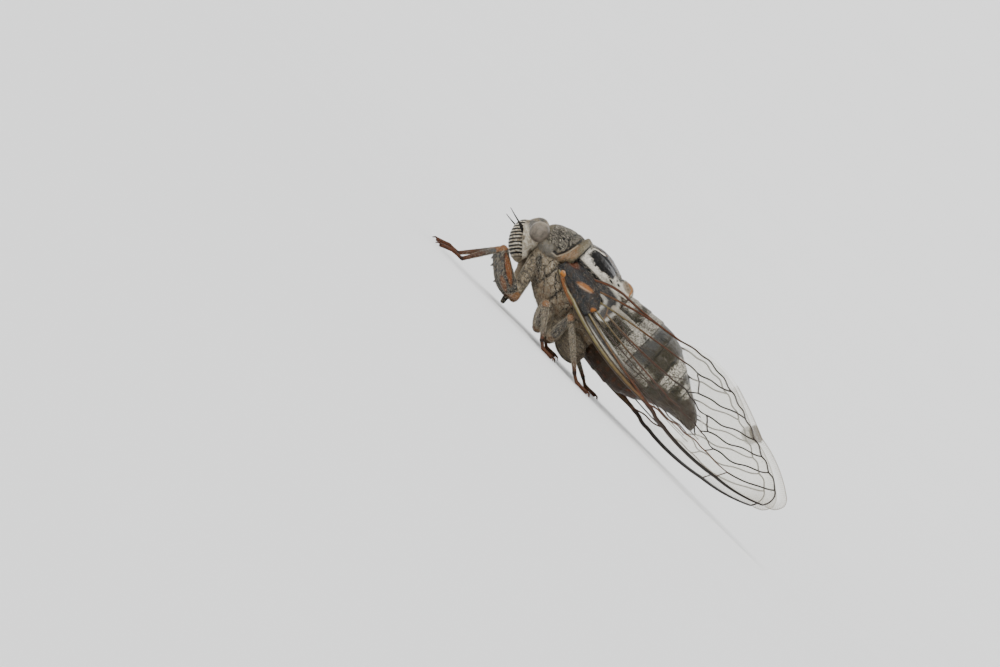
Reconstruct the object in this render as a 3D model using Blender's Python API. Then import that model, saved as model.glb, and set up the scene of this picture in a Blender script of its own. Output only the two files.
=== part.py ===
"""A cicada, Cicada orni, at life size: a still model that rests on its six feet with its wings folded.

Lengths are in millimetres while the shapes are made, and the last step brings every mesh to metres.
The head points to -X, the insect's left side to -Y, and the floor is the plane z = 0. The body and the
wings are drawn level, then rolled a little onto the right side, as the insect holds itself; the feet are
drawn on the floor.
"""

import math

import bmesh
import bpy
import numpy as np
from mathutils import Matrix, Vector
from mathutils.geometry import delaunay_2d_cdt

MM = 0.001
OBJECT_NAME = "cicada_orni"

# Clearance between neighbouring pieces and along a long shallow seam, and the body's roll about a line
# along X at ROLL_HEIGHT.
GAP = 0.3
SEAM_GAP = 0.4
ROLL_DEG = 6.5
ROLL_HEIGHT = 6.5
# Moves the whole insect so that the middle of its outline stands over the origin.
CENTRE_X = 1.3
CENTRE_Y = 0.4

LEFT = -1
RIGHT = 1
SIDES = {"left": LEFT, "right": RIGHT}

# Trunk pieces: x, crown height, height of the widest level, underside height, half width.
PRONOTUM = (
    (-15.5, 9.3, 7.7, 7.0, 3.3),
    (-14.9, 9.95, 7.4, 6.4, 4.1),
    (-13.9, 10.4, 7.2, 6.1, 4.45),
    (-12.8, 10.7, 7.4, 6.3, 4.65),
    (-12.2, 10.75, 7.6, 6.6, 4.75),
    (-11.9, 10.95, 7.8, 6.8, 5.0),
    (-11.4, 11.0, 8.1, 7.1, 4.95),
)
MESONOTUM = (
    (-11.7, 10.7, 8.3, 7.5, 3.9),
    (-10.6, 11.15, 8.4, 7.5, 4.25),
    (-9.2, 11.3, 8.5, 7.6, 4.2),
    (-7.8, 11.0, 8.7, 7.8, 3.75),
    (-6.4, 10.5, 9.0, 8.2, 2.7),
    (-5.1, 10.0, 9.1, 8.5, 1.7),
)
THORAX = (
    (-14.9, 7.6, 6.6, 5.5, 2.7),
    (-13.6, 8.7, 6.6, 4.5, 3.6),
    (-12.2, 9.2, 6.5, 3.5, 4.1),
    (-10.6, 9.4, 6.3, 2.7, 4.25),
    (-8.6, 9.4, 6.2, 2.3, 4.2),
    (-6.6, 9.5, 6.1, 2.2, 4.0),
    (-4.9, 9.6, 6.1, 2.3, 3.85),
)
ABDOMEN = (
    (-4.6, 10.1, 6.2, 2.3, 3.85),
    (-2.5, 10.3, 6.2, 2.1, 4.0),
    (0.0, 10.4, 6.3, 2.0, 3.95),
    (2.1, 10.0, 6.3, 2.6, 3.55),
    (4.1, 8.85, 6.3, 3.75, 3.05),
    (5.7, 7.85, 6.1, 4.25, 2.35),
    (7.2, 6.95, 5.8, 4.5, 1.65),
)
ABDOMEN_TIP = (
    (7.5, 6.7, 5.7, 4.6, 1.45),
    (8.1, 6.35, 5.5, 4.5, 1.15),
    (8.6, 5.9, 5.3, 4.55, 0.75),
    (8.9, 5.4, 5.05, 4.7, 0.3),
)
TRUNK_SIDES = 24
SEGMENT_JOINTS = (-4.6, -3.9, -2.3, -0.6, 1.1, 2.8, 4.4, 5.8, 7.2)
SEGMENT_STEP = 0.07

# Raised cross at the rear of the mesonotum, as two low bars that meet.
CROSS_CENTRE = (-5.7, 0.0, 10.5)
CROSS_ARM_FRONT = (-6.95, 1.5, 10.05)
CROSS_ARM_REAR = (-4.95, 1.1, 9.95)
CROSS_RADIUS = 0.42

# Head, from its middle out to one side: y, x and z of the section's centre, half depth, half height.
HEAD = (
    (0.0, -16.15, 6.9, 1.35, 2.28),
    (1.1, -16.15, 6.95, 1.35, 2.22),
    (2.1, -16.1, 7.25, 1.25, 1.9),
    (2.9, -15.95, 7.6, 1.05, 1.35),
    (3.5, -15.8, 7.75, 0.75, 0.85),
)
HEAD_SIDES = 20
CHEEK_CENTRE = (-16.0, 1.55, 5.3)
CHEEK_RADII = (1.15, 0.6, 1.1)
BROW_CENTRE = (-17.05, 1.75, 7.75)
BROW_RADII = (0.5, 0.85, 0.28)
# The face is flat on both sides of the clypeus and slopes back down to the mouth: x + z there.
FACE_LEVEL = -10.35
OCELLUS_RADIUS = 0.24
OCELLI = ((-16.75, 0.0, 8.85), (-16.1, 0.6, 9.0), (-16.1, -0.6, 9.0))

EYE_CENTRE = (-15.75, 3.7, 7.75)
EYE_RADII = (1.05, 1.0, 1.12)

# Nose shield: an egg along a sloping axis, with ribs across it.
CLYPEUS_TOP = (-17.65, 8.0)
CLYPEUS_FOOT = (-14.95, 4.45)
CLYPEUS_HALF_WIDTH = 1.65
CLYPEUS_HALF_DEPTH = 1.5
CLYPEUS_INNER_DEPTH = 0.7
CLYPEUS_RIBS = 9
CLYPEUS_RIB_HEIGHT = 0.07
CLYPEUS_SIDES = 16

# Feelers and beak: points from root to tip, with radii.
ANTENNA_POINTS = ((-16.9, 1.55, 6.9), (-17.45, 1.9, 6.97), (-18.1, 2.4, 7.1), (-19.45, 3.5, 7.35))
ANTENNA_RADII = (0.3, 0.3, 0.24, 0.1)
BEAK_POINTS = ((-14.75, 0.0, 4.75), (-14.25, 0.0, 3.5), (-13.75, 0.0, 2.0), (-13.5, 0.0, 0.6))
BEAK_RADII = (0.5, 0.46, 0.4, 0.25)

# Sound covers under the waist, tilted to follow the body's side.
OPERCULUM_CENTRE = (-5.25, 2.1, 1.95)
OPERCULUM_RADII = (1.75, 1.7, 0.5)
OPERCULUM_TILT_DEG = 27.0

# Legs: hip in the body's own frame, and joints on the left side in the floor's frame: end of the coxa, knee
# and end of the tibia. The foot runs over a heel, given as a share of its length and a height, to the toe.
LEGS = {
    "fore": {
        "hip": (-14.2, 1.95, 5.7),
        "joints": ((-13.05, -2.1, 1.95), (-17.15, -2.8, 4.4), (-19.35, -2.65, 0.75)),
        "heel": (0.5, 0.7),
        "toe": (-21.85, -2.8),
        "coxa": (0.65, 0.5),
        "femur": 0.85,
        "tibia": (0.38, 0.3),
        "bow": 0.5,
    },
    "mid": {
        "hip": (-9.9, 2.1, 3.3),
        "joints": ((-9.1, -2.45, 1.15), (-10.3, -4.75, 3.5), (-8.05, -5.85, 0.7)),
        "heel": (0.35, 0.22),
        "toe": (-6.2, -6.5),
        "coxa": (0.85, 0.55),
        "femur": 0.5,
        "tibia": (0.38, 0.29),
        "bow": 0.0,
    },
    "hind": {
        "hip": (-7.9, 2.0, 3.1),
        "joints": ((-7.55, -2.9, 1.4), (-7.6, -5.35, 4.3), (-3.5, -6.3, 0.7)),
        "heel": (0.35, 0.22),
        "toe": (-1.35, -6.6),
        "coxa": (0.85, 0.55),
        "femur": 0.5,
        "tibia": (0.38, 0.29),
        "bow": 0.0,
    },
}
RIGHT_SHIFT = {"fore": -0.8, "mid": 0.3, "hind": 1.2}
# The femur's thickness along it: share of its length and share of its greatest radius.
FEMUR_SHAPE = ((0.0, 0.6), (0.18, 0.9), (0.45, 1.0), (0.8, 0.76), (1.0, 0.58))
FOOT_RADIUS = 0.28
SOLE_HEIGHT = 0.22
LOWEST_HINGE = 0.95
FLOOR_SIZE = 80.0
CLAW_LENGTH = 0.55
CLAW_RADIUS = 0.14
CLAW_SPREAD_DEG = 24.0
CLAW_APART = 0.2
# Spines under the fore femur: share of its length, and how far each stands out of it.
FEMUR_SPINES = ((0.5, 0.25), (0.8, 0.35), (0.92, 0.3))
FEMUR_SPINE_RADIUS = 0.22
FEMUR_SPINE_TIP = 0.07

# The folded wing lies on a roof. Along the front edge: x, the edge's height and distance from the midline,
# and the height at which the roof would reach the midline.
ROOF_LINE = (
    (-12.6, 7.0, 3.9, 13.2),
    (-11.3, 6.4, 4.45, 13.2),
    (-7.6, 4.5, 5.9, 13.2),
    (-3.1, 3.3, 7.0, 13.2),
    (1.0, 3.0, 7.25, 12.9),
    (5.0, 2.75, 7.0, 12.4),
    (10.7, 2.5, 6.1, 11.9),
    (17.0, 3.2, 4.9, 11.0),
    (21.0, 5.0, 4.1, 10.0),
)
ROOF_POWER = 1.7
HINDWING_DEPTH = 1.1

MEMBRANE = 0.5
VEIN = 0.8
VEIN_HALF_WIDTH = 0.22
VEIN_STEP = 2.4
FOOT_START = 0.4
JOINED = 0.06
SLOPE_STEP = 0.05

# Forewing drawing in x and z: junctions of the veins, then the outline, anticlockwise from the root,
# and the veins inside it as arcs between them. The third value is how far the arc's middle lies to the
# left of the straight line, looking along it, and the outline's fourth says whether a vein runs there.
FOREWING_JUNCTIONS = {
    "root_low": (-11.7, 6.3),
    "root_high": (-11.4, 7.3),
    "costa_base": (-8.7, 5.0),
    "radius_base": (-8.5, 5.7),
    "basal": (-8.3, 6.4),
    "claval_base": (-8.3, 7.15),
    "heel": (-8.7, 7.9),
    "shoulder": (-5.5, 9.15),
    "anal": (1.75, 9.95),
    "hind_a": (9.2, 11.0),
    "hind_b": (14.3, 8.95),
    "tip_low": (19.9, 4.45),
    "tip": (20.5, 5.45),
    "tip_high": (20.1, 6.35),
    "costa_end": (18.8, 4.05),
    "costa_foot": (13.4, 2.62),
    "node": (3.4, 2.88),
    "arculus_top": (-5.7, 6.95),
    "arculus_mid": (-5.4, 6.35),
    "arculus_low": (-5.2, 5.7),
    "fork_1": (5.1, 8.9),
    "fork_2": (6.6, 7.45),
    "branch_2": (5.7, 6.7),
    "fork_3": (8.7, 6.3),
    "fork_4": (9.9, 5.3),
    "branch_4": (9.2, 4.85),
    "fork_5": (11.5, 4.5),
    "branch_5": (10.8, 3.75),
    "fork_6": (14.0, 3.8),
    "rim_1": (8.9, 10.1),
    "rim_2": (11.7, 9.2),
    "rim_3": (13.8, 8.3),
    "rim_4": (15.5, 7.6),
    "rim_5": (17.1, 6.95),
    "rim_6": (18.7, 6.1),
}
FOREWING_OUTLINE = (
    ("root_low", "costa_base", -0.15, True),
    ("costa_base", "node", -0.7, True),
    ("node", "costa_foot", -0.55, True),
    ("costa_foot", "costa_end", -0.25, True),
    ("costa_end", "tip_low", -0.05, False),
    ("tip_low", "tip", -0.1, False),
    ("tip", "tip_high", -0.1, False),
    ("tip_high", "hind_b", -0.45, False),
    ("hind_b", "hind_a", -0.1, False),
    ("hind_a", "anal", -0.8, False),
    ("anal", "shoulder", 0.2, True),
    ("shoulder", "heel", -0.2, True),
    ("heel", "root_high", 0.0, True),
    ("root_high", "root_low", 0.0, True),
)
FOREWING_VEINS = (
    ("costa_base", "radius_base", 0.0),
    ("radius_base", "basal", 0.0),
    ("basal", "claval_base", 0.0),
    ("claval_base", "heel", 0.0),
    ("claval_base", "anal", 0.3),
    ("radius_base", "node", -0.25),
    ("basal", "arculus_top", 0.0),
    ("basal", "arculus_low", -0.1),
    ("arculus_top", "arculus_mid", 0.0),
    ("arculus_mid", "arculus_low", 0.0),
    ("arculus_top", "fork_1", 0.05),
    ("arculus_mid", "branch_2", -0.35),
    ("branch_2", "fork_2", 0.0),
    ("branch_2", "fork_3", -0.2),
    ("arculus_low", "branch_4", -0.35),
    ("branch_4", "fork_4", 0.0),
    ("branch_4", "fork_5", -0.1),
    ("node", "branch_5", 0.1),
    ("branch_5", "fork_5", 0.0),
    ("branch_5", "fork_6", -0.1),
    ("costa_foot", "fork_6", 0.0),
    ("fork_1", "fork_2", 0.0),
    ("fork_3", "fork_4", 0.0),
    ("fork_1", "rim_1", -0.15),
    ("fork_2", "rim_2", -0.1),
    ("fork_3", "rim_3", -0.1),
    ("fork_4", "rim_4", -0.2),
    ("fork_5", "rim_5", -0.45),
    ("fork_6", "rim_6", -0.3),
    ("anal", "rim_1", 0.65),
    ("rim_1", "rim_2", 0.05),
    ("rim_2", "rim_3", 0.05),
    ("rim_3", "rim_4", 0.05),
    ("rim_4", "rim_5", 0.05),
    ("rim_5", "rim_6", 0.1),
    ("rim_6", "costa_end", 0.4),
)
HINDWING_JUNCTIONS = {
    "root_low": (-10.2, 6.3),
    "root_high": (-10.0, 7.2),
    "front_node": (-2.0, 4.5),
    "front_end": (8.6, 3.6),
    "tip": (9.95, 4.5),
    "rear_1": (8.6, 6.5),
    "rear_2": (5.0, 8.3),
    "rear_3": (0.6, 8.0),
    "rear_4": (-4.4, 7.8),
    "fork_1": (3.4, 5.0),
    "fork_2": (-1.6, 6.6),
    "fork_3": (3.0, 6.9),
}
HINDWING_OUTLINE = (
    ("root_low", "front_node", -0.35, True),
    ("front_node", "front_end", -0.25, True),
    ("front_end", "tip", -0.3, False),
    ("tip", "rear_1", -0.3, False),
    ("rear_1", "rear_2", -0.2, False),
    ("rear_2", "rear_3", -0.2, False),
    ("rear_3", "rear_4", -0.15, False),
    ("rear_4", "root_high", -0.1, False),
    ("root_high", "root_low", 0.0, True),
)
HINDWING_VEINS = (
    ("root_low", "fork_1", -0.2),
    ("front_node", "fork_1", 0.0),
    ("fork_1", "tip", -0.1),
    ("fork_1", "rear_1", 0.0),
    ("root_high", "fork_2", 0.0),
    ("fork_2", "fork_3", 0.0),
    ("fork_3", "fork_1", 0.0),
    ("fork_3", "rear_2", 0.0),
    ("fork_2", "rear_3", 0.0),
    ("fork_2", "rear_4", 0.0),
)

# Colour, roughness.
COLOURS = {
    "head": ((0.36, 0.32, 0.25), 0.6),
    "clypeus": ((0.12, 0.1, 0.08), 0.4),
    "eye": ((0.3, 0.24, 0.17), 0.3),
    "antenna": ((0.05, 0.04, 0.03), 0.5),
    "beak": ((0.2, 0.12, 0.07), 0.5),
    "pronotum": ((0.3, 0.27, 0.2), 0.6),
    "mesonotum": ((0.05, 0.045, 0.04), 0.35),
    "thorax": ((0.38, 0.35, 0.3), 0.7),
    "abdomen": ((0.14, 0.12, 0.1), 0.5),
    "operculum": ((0.35, 0.32, 0.27), 0.6),
    "leg": ((0.3, 0.25, 0.18), 0.5),
    "forewing": ((0.55, 0.48, 0.3), 0.25),
    "hindwing": ((0.6, 0.55, 0.42), 0.25),
}

ROLL = (
    Matrix.Translation((0, 0, ROLL_HEIGHT))
    @ Matrix.Rotation(math.radians(-ROLL_DEG), 4, "X")
    @ Matrix.Translation((0, 0, -ROLL_HEIGHT))
)


def clear_scene():
    for obj in list(bpy.data.objects):
        bpy.data.objects.remove(obj, do_unlink=True)


def new_object(name, bm):
    """Turns a bmesh into an object of the scene, its faces pointing out."""
    bmesh.ops.recalc_face_normals(bm, faces=bm.faces)
    mesh = bpy.data.meshes.new(name)
    bm.to_mesh(mesh)
    bm.free()
    obj = bpy.data.objects.new(name, mesh)
    bpy.context.scene.collection.objects.link(obj)
    return obj


def remove(obj):
    bpy.data.objects.remove(obj, do_unlink=True)


def apply_modifiers(obj):
    graph = bpy.context.evaluated_depsgraph_get()
    mesh = bpy.data.meshes.new_from_object(obj.evaluated_get(graph))
    obj.modifiers.clear()
    obj.data = mesh


def cut(obj, others):
    """Takes each of the closed meshes away from the object in turn, and removes it."""
    for other in others:
        modifier = obj.modifiers.new("cut", "BOOLEAN")
        modifier.operation = "DIFFERENCE"
        modifier.object = other
        modifier.solver = "EXACT"
        apply_modifiers(obj)
        remove(other)
    keep_largest(obj)
    return obj


def join(obj, others):
    """One Boolean union with a collection of closed meshes, which it then removes."""
    helpers = bpy.data.collections.new("helpers")
    bpy.context.scene.collection.children.link(helpers)
    for other in others:
        helpers.objects.link(other)
        bpy.context.scene.collection.objects.unlink(other)
    modifier = obj.modifiers.new("join", "BOOLEAN")
    modifier.operation = "UNION"
    modifier.operand_type = "COLLECTION"
    modifier.collection = helpers
    modifier.solver = "EXACT"
    apply_modifiers(obj)
    for other in others:
        remove(other)
    bpy.data.collections.remove(helpers)
    keep_largest(obj)
    return obj


def keep_largest(obj):
    """Keeps the largest closed surface of the mesh and drops loose scraps and sealed hollows."""
    bm = bmesh.new()
    bm.from_mesh(obj.data)
    left = set(bm.faces)
    shells = []
    while left:
        shell = {left.pop()}
        edge = list(shell)
        while edge:
            face = edge.pop()
            near = {other for side in face.edges for other in side.link_faces} & left
            left -= near
            shell |= near
            edge.extend(near)
        shells.append(shell)
    size = {id(shell): sum(face.calc_area() for face in shell) for shell in shells}
    shells.sort(key=lambda shell: size[id(shell)])
    for shell in shells[:-1]:
        bmesh.ops.delete(bm, geom=list(shell), context="FACES")
    bm.to_mesh(obj.data)
    bm.free()


def through(stations, steps):
    """Rows on a smooth curve through the stations, with this many steps between each two."""
    rows = np.array(stations, float)
    padded = np.vstack([2 * rows[0] - rows[1], rows, 2 * rows[-1] - rows[-2]])
    found = []
    for before, start, end, after in zip(padded, padded[1:], padded[2:], padded[3:]):
        for step in range(steps):
            t = step / steps
            found.append(
                0.5
                * (
                    2 * start
                    + (end - before) * t
                    + (2 * before - 5 * start + 4 * end - after) * t**2
                    + (3 * start - before - 3 * end + after) * t**3
                )
            )
    found.append(rows[-1])
    return np.array(found)


def loft(name, rings):
    """A closed mesh through rings of the same number of points, with a fan on each end."""
    bm = bmesh.new()
    rows = [[bm.verts.new(point) for point in ring] for ring in rings]
    for row, after in zip(rows, rows[1:]):
        for i in range(len(row)):
            bm.faces.new((row[i - 1], row[i], after[i], after[i - 1]))
    for row in (rows[0], rows[-1]):
        middle = bm.verts.new(sum((vert.co for vert in row), Vector()) / len(row))
        for i in range(len(row)):
            bm.faces.new((row[i - 1], row[i], middle))
    return new_object(name, bm)


def trunk_ring(station, grow):
    x, crown, middle, underside, half_width = station
    ring = []
    for i in range(TRUNK_SIDES):
        angle = math.tau * i / TRUNK_SIDES
        reach = crown - middle if math.sin(angle) > 0 else middle - underside
        y = (half_width + grow) * math.cos(angle)
        ring.append(Vector((x, y, middle + (reach + grow) * math.sin(angle))))
    return ring


def trunk_piece(name, stations, steps, grow):
    rows = through(stations, steps)
    rows[0][0] -= grow
    rows[-1][0] += grow
    return loft(name, [trunk_ring(row, grow) for row in rows])


def ball(name, centre, radii, grow=0.0, turn=0.0, segments=16, rows=10):
    """An ellipsoid, turned by some degrees about X."""
    bm = bmesh.new()
    bmesh.ops.create_uvsphere(bm, u_segments=segments, v_segments=rows, radius=1.0)
    size = Matrix.Diagonal((*(radius + grow for radius in radii), 1.0))
    bm.transform(Matrix.Translation(centre) @ Matrix.Rotation(math.radians(turn), 4, "X") @ size)
    return new_object(name, bm)


def tube(name, points, radii, grow=0.0):
    """A closed round rod through points, each with its radius, its ends lengthened by grow."""
    route = [Vector(point) for point in points]
    route[0] += (route[0] - route[1]).normalized() * grow
    route[-1] += (route[-1] - route[-2]).normalized() * grow
    curve = bpy.data.curves.new(name, "CURVE")
    curve.dimensions = "3D"
    curve.bevel_depth = 1.0
    curve.bevel_resolution = 2
    curve.use_fill_caps = True
    spline = curve.splines.new("POLY")
    spline.points.add(len(route) - 1)
    for knot, point, radius in zip(spline.points, route, radii):
        knot.co = (*point, 1.0)
        knot.radius = radius + grow
    guide = bpy.data.objects.new(name, curve)
    bpy.context.scene.collection.objects.link(guide)
    graph = bpy.context.evaluated_depsgraph_get()
    mesh = bpy.data.meshes.new_from_object(guide.evaluated_get(graph))
    bm = bmesh.new()
    bm.from_mesh(mesh)
    bm.transform(guide.matrix_world)
    bmesh.ops.remove_doubles(bm, verts=bm.verts, dist=0.0001)
    remove(guide)
    bpy.data.meshes.remove(mesh)
    return new_object(name, bm)


def limb(name, start, end, start_radius, end_radius, grow=0.0):
    """A leg length with rounded ends."""
    start = Vector(start)
    end = Vector(end)
    along = (end - start).normalized()
    points = [start, start + along * start_radius * 0.4, start.lerp(end, 0.5)]
    points += [end - along * end_radius * 0.4, end]
    middle_radius = (start_radius + end_radius) / 2
    radii = [start_radius * 0.62, start_radius, middle_radius, end_radius, end_radius * 0.62]
    return tube(name, points, radii, grow)


def mirrored(point, side):
    return Vector((point[0], point[1] * side, point[2]))


def roll(obj):
    obj.data.transform(ROLL)
    return obj


def pronotum(grow=0.0):
    return roll(trunk_piece("pronotum", PRONOTUM, 2, grow))


def mesonotum(grow=0.0):
    shield = trunk_piece("mesonotum", MESONOTUM, 2, grow)
    bars = []
    for side in (LEFT, RIGHT):
        ends = [mirrored(CROSS_ARM_FRONT, side), CROSS_CENTRE, mirrored(CROSS_ARM_REAR, -side)]
        radii = (CROSS_RADIUS * 0.7, CROSS_RADIUS, CROSS_RADIUS * 0.7)
        bars.append(tube("bar", ends, radii, grow))
    return roll(join(shield, bars))


def thorax(grow=0.0):
    return roll(trunk_piece("thorax", THORAX, 1, grow))


def abdomen(grow=0.0):
    """Rings that each end a little proud of the next one."""
    profile = through(ABDOMEN, 6)
    rings = []
    for front, rear in zip(SEGMENT_JOINTS, SEGMENT_JOINTS[1:]):
        for x, step in ((front, -SEGMENT_STEP), ((front + rear) / 2, 0.0), (rear - 0.05, SEGMENT_STEP)):
            station = [x] + [np.interp(x, profile[:, 0], column) for column in profile.T[1:]]
            rings.append(trunk_ring(station, grow + step))
    for ring, shift in ((rings[0], -grow), (rings[-1], grow)):
        for point in ring:
            point.x += shift
    return roll(loft("abdomen", rings))


def abdomen_tip(grow=0.0):
    return roll(trunk_piece("abdomen_tip", ABDOMEN_TIP, 1, grow))


def head(grow=0.0):
    half = through(HEAD, 1)
    rows = [row * np.array((-1, 1, 1, 1, 1)) for row in half[:0:-1]] + list(half)
    rings = []
    for y, x, z, half_depth, half_height in rows:
        ring = []
        for i in range(HEAD_SIDES):
            angle = math.tau * i / HEAD_SIDES
            depth = (half_depth + grow) * math.cos(angle)
            height = (half_height + grow) * math.sin(angle)
            ring.append(Vector((x + depth, y, z + height)))
        rings.append(ring)
    for ring, shift in ((rings[0], -grow), (rings[-1], grow)):
        for point in ring:
            point.y += shift
    skull = loft("head", rings)
    lobes = []
    for side in (LEFT, RIGHT):
        lobes.append(ball("cheek", mirrored(CHEEK_CENTRE, side), CHEEK_RADII, grow, 0.0, 12, 8))
        lobes.append(ball("brow", mirrored(BROW_CENTRE, side), BROW_RADII, grow, 0.0, 12, 6))
    for centre in OCELLI:
        lobes.append(ball("ocellus", centre, [OCELLUS_RADIUS] * 3, grow, 0.0, 8, 6))
    return roll(join(skull, lobes))


def eye(side, grow=0.0):
    return roll(ball("eye", mirrored(EYE_CENTRE, side), EYE_RADII, grow))


def clypeus(grow=0.0):
    """An egg about a sloping axis; every other ring across it stands a little proud as a rib."""
    top = Vector((CLYPEUS_TOP[0], 0, CLYPEUS_TOP[1]))
    foot = Vector((CLYPEUS_FOOT[0], 0, CLYPEUS_FOOT[1]))
    axis = (foot - top).normalized()
    front = Vector((axis.z, 0, -axis.x))
    half_length = (foot - top).length / 2 + grow
    middle = (top + foot) / 2
    count = 2 * CLYPEUS_RIBS + 1
    rings = []
    for k in range(1, count):
        along = -math.cos(math.pi * k / count)
        rib = CLYPEUS_RIB_HEIGHT * (1 if k % 2 else -1) if grow == 0 else CLYPEUS_RIB_HEIGHT
        width = math.sqrt(1 - along**2)
        ring = []
        for i in range(CLYPEUS_SIDES):
            angle = math.tau * i / CLYPEUS_SIDES
            side = math.cos(angle) * (CLYPEUS_HALF_WIDTH + grow + rib) * width
            depth = CLYPEUS_HALF_DEPTH if math.sin(angle) > 0 else CLYPEUS_INNER_DEPTH
            out = math.sin(angle) * (depth + grow + rib) * width
            ring.append(middle + axis * along * half_length + front * out + Vector((0, side, 0)))
        rings.append(ring)
    return roll(loft("clypeus", rings))


def antenna(side, grow=0.0):
    points = [mirrored(point, side) for point in ANTENNA_POINTS]
    return roll(tube("antenna", points, ANTENNA_RADII, grow))


def beak(grow=0.0):
    return roll(tube("beak", BEAK_POINTS, BEAK_RADII, grow))


def operculum(side, grow=0.0):
    centre = mirrored(OPERCULUM_CENTRE, side)
    return roll(ball("operculum", centre, OPERCULUM_RADII, grow, side * OPERCULUM_TILT_DEG))


def leg_joints(pair, side):
    """Hip, end of the coxa, knee, end of the tibia and toe, in the floor's frame."""
    leg = LEGS[pair]
    hip = ROLL @ mirrored(leg["hip"], side)
    hinge, knee, ankle = (Vector(point) for point in leg["joints"])
    toe = Vector((*leg["toe"], SOLE_HEIGHT))
    if side == RIGHT:
        # The roll lowers the right hinge and knee, and the foot stands at its own place.
        hinge, knee = (ROLL @ mirrored(ROLL.inverted() @ point, -1) for point in (hinge, knee))
        ankle, toe = (mirrored(point, -1) for point in (ankle, toe))
        knee.x += RIGHT_SHIFT[pair] / 2
        ankle.x += RIGHT_SHIFT[pair]
        toe.x += RIGHT_SHIFT[pair]
    hinge.z = max(hinge.z, LOWEST_HINGE)
    return [hip, hinge, knee, ankle, toe]


def coxa(pair, side, grow=0.0):
    hip, hinge = leg_joints(pair, side)[:2]
    return limb("coxa", hip, hinge, *LEGS[pair]["coxa"], grow)


def femur(pair, side, grow=0.0):
    hinge, knee = leg_joints(pair, side)[1:3]
    thick = LEGS[pair]["femur"]
    points = []
    for share, _ in FEMUR_SHAPE:
        points.append(hinge.lerp(knee, share))
        points[-1].z -= LEGS[pair]["bow"] * math.sin(math.pi * share)
    bone = tube("femur", points, [thick * width for _, width in FEMUR_SHAPE], grow)
    if pair != "fore":
        return bone
    spines = []
    for share, length in FEMUR_SPINES:
        width = np.interp(share, *zip(*FEMUR_SHAPE)) * thick
        root = hinge.lerp(knee, share)
        root.z -= LEGS[pair]["bow"] * math.sin(math.pi * share)
        tip = root + Vector((-0.3, 0, -1)).normalized() * (width + length)
        spines.append(tube("spine", (root, tip), (FEMUR_SPINE_RADIUS, FEMUR_SPINE_TIP), grow))
    return join(bone, spines)


def tibia(pair, side, grow=0.0):
    knee, ankle = leg_joints(pair, side)[2:4]
    return limb("tibia", knee, ankle, *LEGS[pair]["tibia"], grow)


def tarsus(pair, side):
    """The foot: a rod from the shin over the heel to the toe on the floor, and two claws."""
    ankle, toe = leg_joints(pair, side)[3:5]
    share, height = LEGS[pair]["heel"]
    heel = ankle.lerp(toe, share)
    heel.z = height
    rod = tube("tarsus", (ankle, heel, toe), [FOOT_RADIUS] * 3)
    cut(rod, [tibia(pair, side, GAP), floor_block()])
    ahead = toe - heel
    ahead.z = 0
    ahead.normalize()
    claws = []
    aside = Vector((-ahead.y, ahead.x, 0))
    for turn in (-1, 1):
        out = Matrix.Rotation(math.radians(turn * CLAW_SPREAD_DEG), 3, "Z") @ ahead
        root = toe - ahead * CLAW_RADIUS + aside * turn * CLAW_APART
        tip = root + out * CLAW_LENGTH
        tip.z = CLAW_RADIUS
        claws.append(tube("claw", (root, tip), (CLAW_RADIUS * 1.2, CLAW_RADIUS * 0.6)))
    return join(rod, claws)


def face_block():
    """All that lies in front of the sloping flat of the face."""
    bm = bmesh.new()
    bmesh.ops.create_cube(bm, size=FLOOR_SIZE)
    ahead = Vector((-1, 0, -1)).normalized()
    middle = Vector((FACE_LEVEL / 2, 0, FACE_LEVEL / 2)) + ahead * FLOOR_SIZE / 2
    bm.transform(Matrix.Translation(middle) @ Matrix.Rotation(math.radians(45), 4, "Y"))
    return roll(new_object("face", bm))


def floor_block():
    """All that lies under the floor."""
    bm = bmesh.new()
    bmesh.ops.create_cube(bm, size=FLOOR_SIZE)
    bm.transform(Matrix.Translation((0, 0, -FLOOR_SIZE / 2)))
    return new_object("floor", bm)


def arc(start, end, bow, aside=0.0, clear=0.0):
    """Points on a flat arc whose middle is bowed to the left of the straight line from start to end.

    A line aside of it, to the left, begins and ends a clear distance from the ends.
    """
    start = np.array(start)
    end = np.array(end)
    along = end - start
    length = math.hypot(*along)
    left = np.array((-along[1], along[0])) / length
    count = max(1, round(length / VEIN_STEP))
    shares = np.linspace(clear / length, 1 - clear / length, count + 1)
    points = []
    for t in shares:
        slope = 4 * bow * (1 - 2 * t) / length
        normal = (left - slope * along / length) / math.hypot(1.0, slope)
        points.append(start + along * t + left * bow * 4 * t * (1 - t) + normal * aside)
    return points


def distance(point, line):
    """How far a point of the drawing lies from a line through points."""
    start = np.array(line[:-1])
    along = np.array(line[1:]) - start
    reach = np.array(point) - start
    share = np.clip((reach * along).sum(1) / (along**2).sum(1), 0, 1)
    return np.hypot(*(reach - along * share[:, None]).T).min()


def roof(x, z):
    """The folded wing's distance from the midline above a point of the side view."""
    line = through(ROOF_LINE, 5)
    low, far, high = (np.interp(x, line[:, 0], column) for column in line.T[1:])
    rise = max(0.0, (z - low) / (high - low))
    return far * (1 - rise**ROOF_POWER)


def roof_slope(x, z, along_x, along_z):
    """How fast the wing moves away from the midline along one axis of the drawing."""
    step_x = SLOPE_STEP * along_x
    step_z = SLOPE_STEP * along_z
    return (roof(x + step_x, z + step_z) - roof(x - step_x, z - step_z)) / (2 * SLOPE_STEP)


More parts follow.
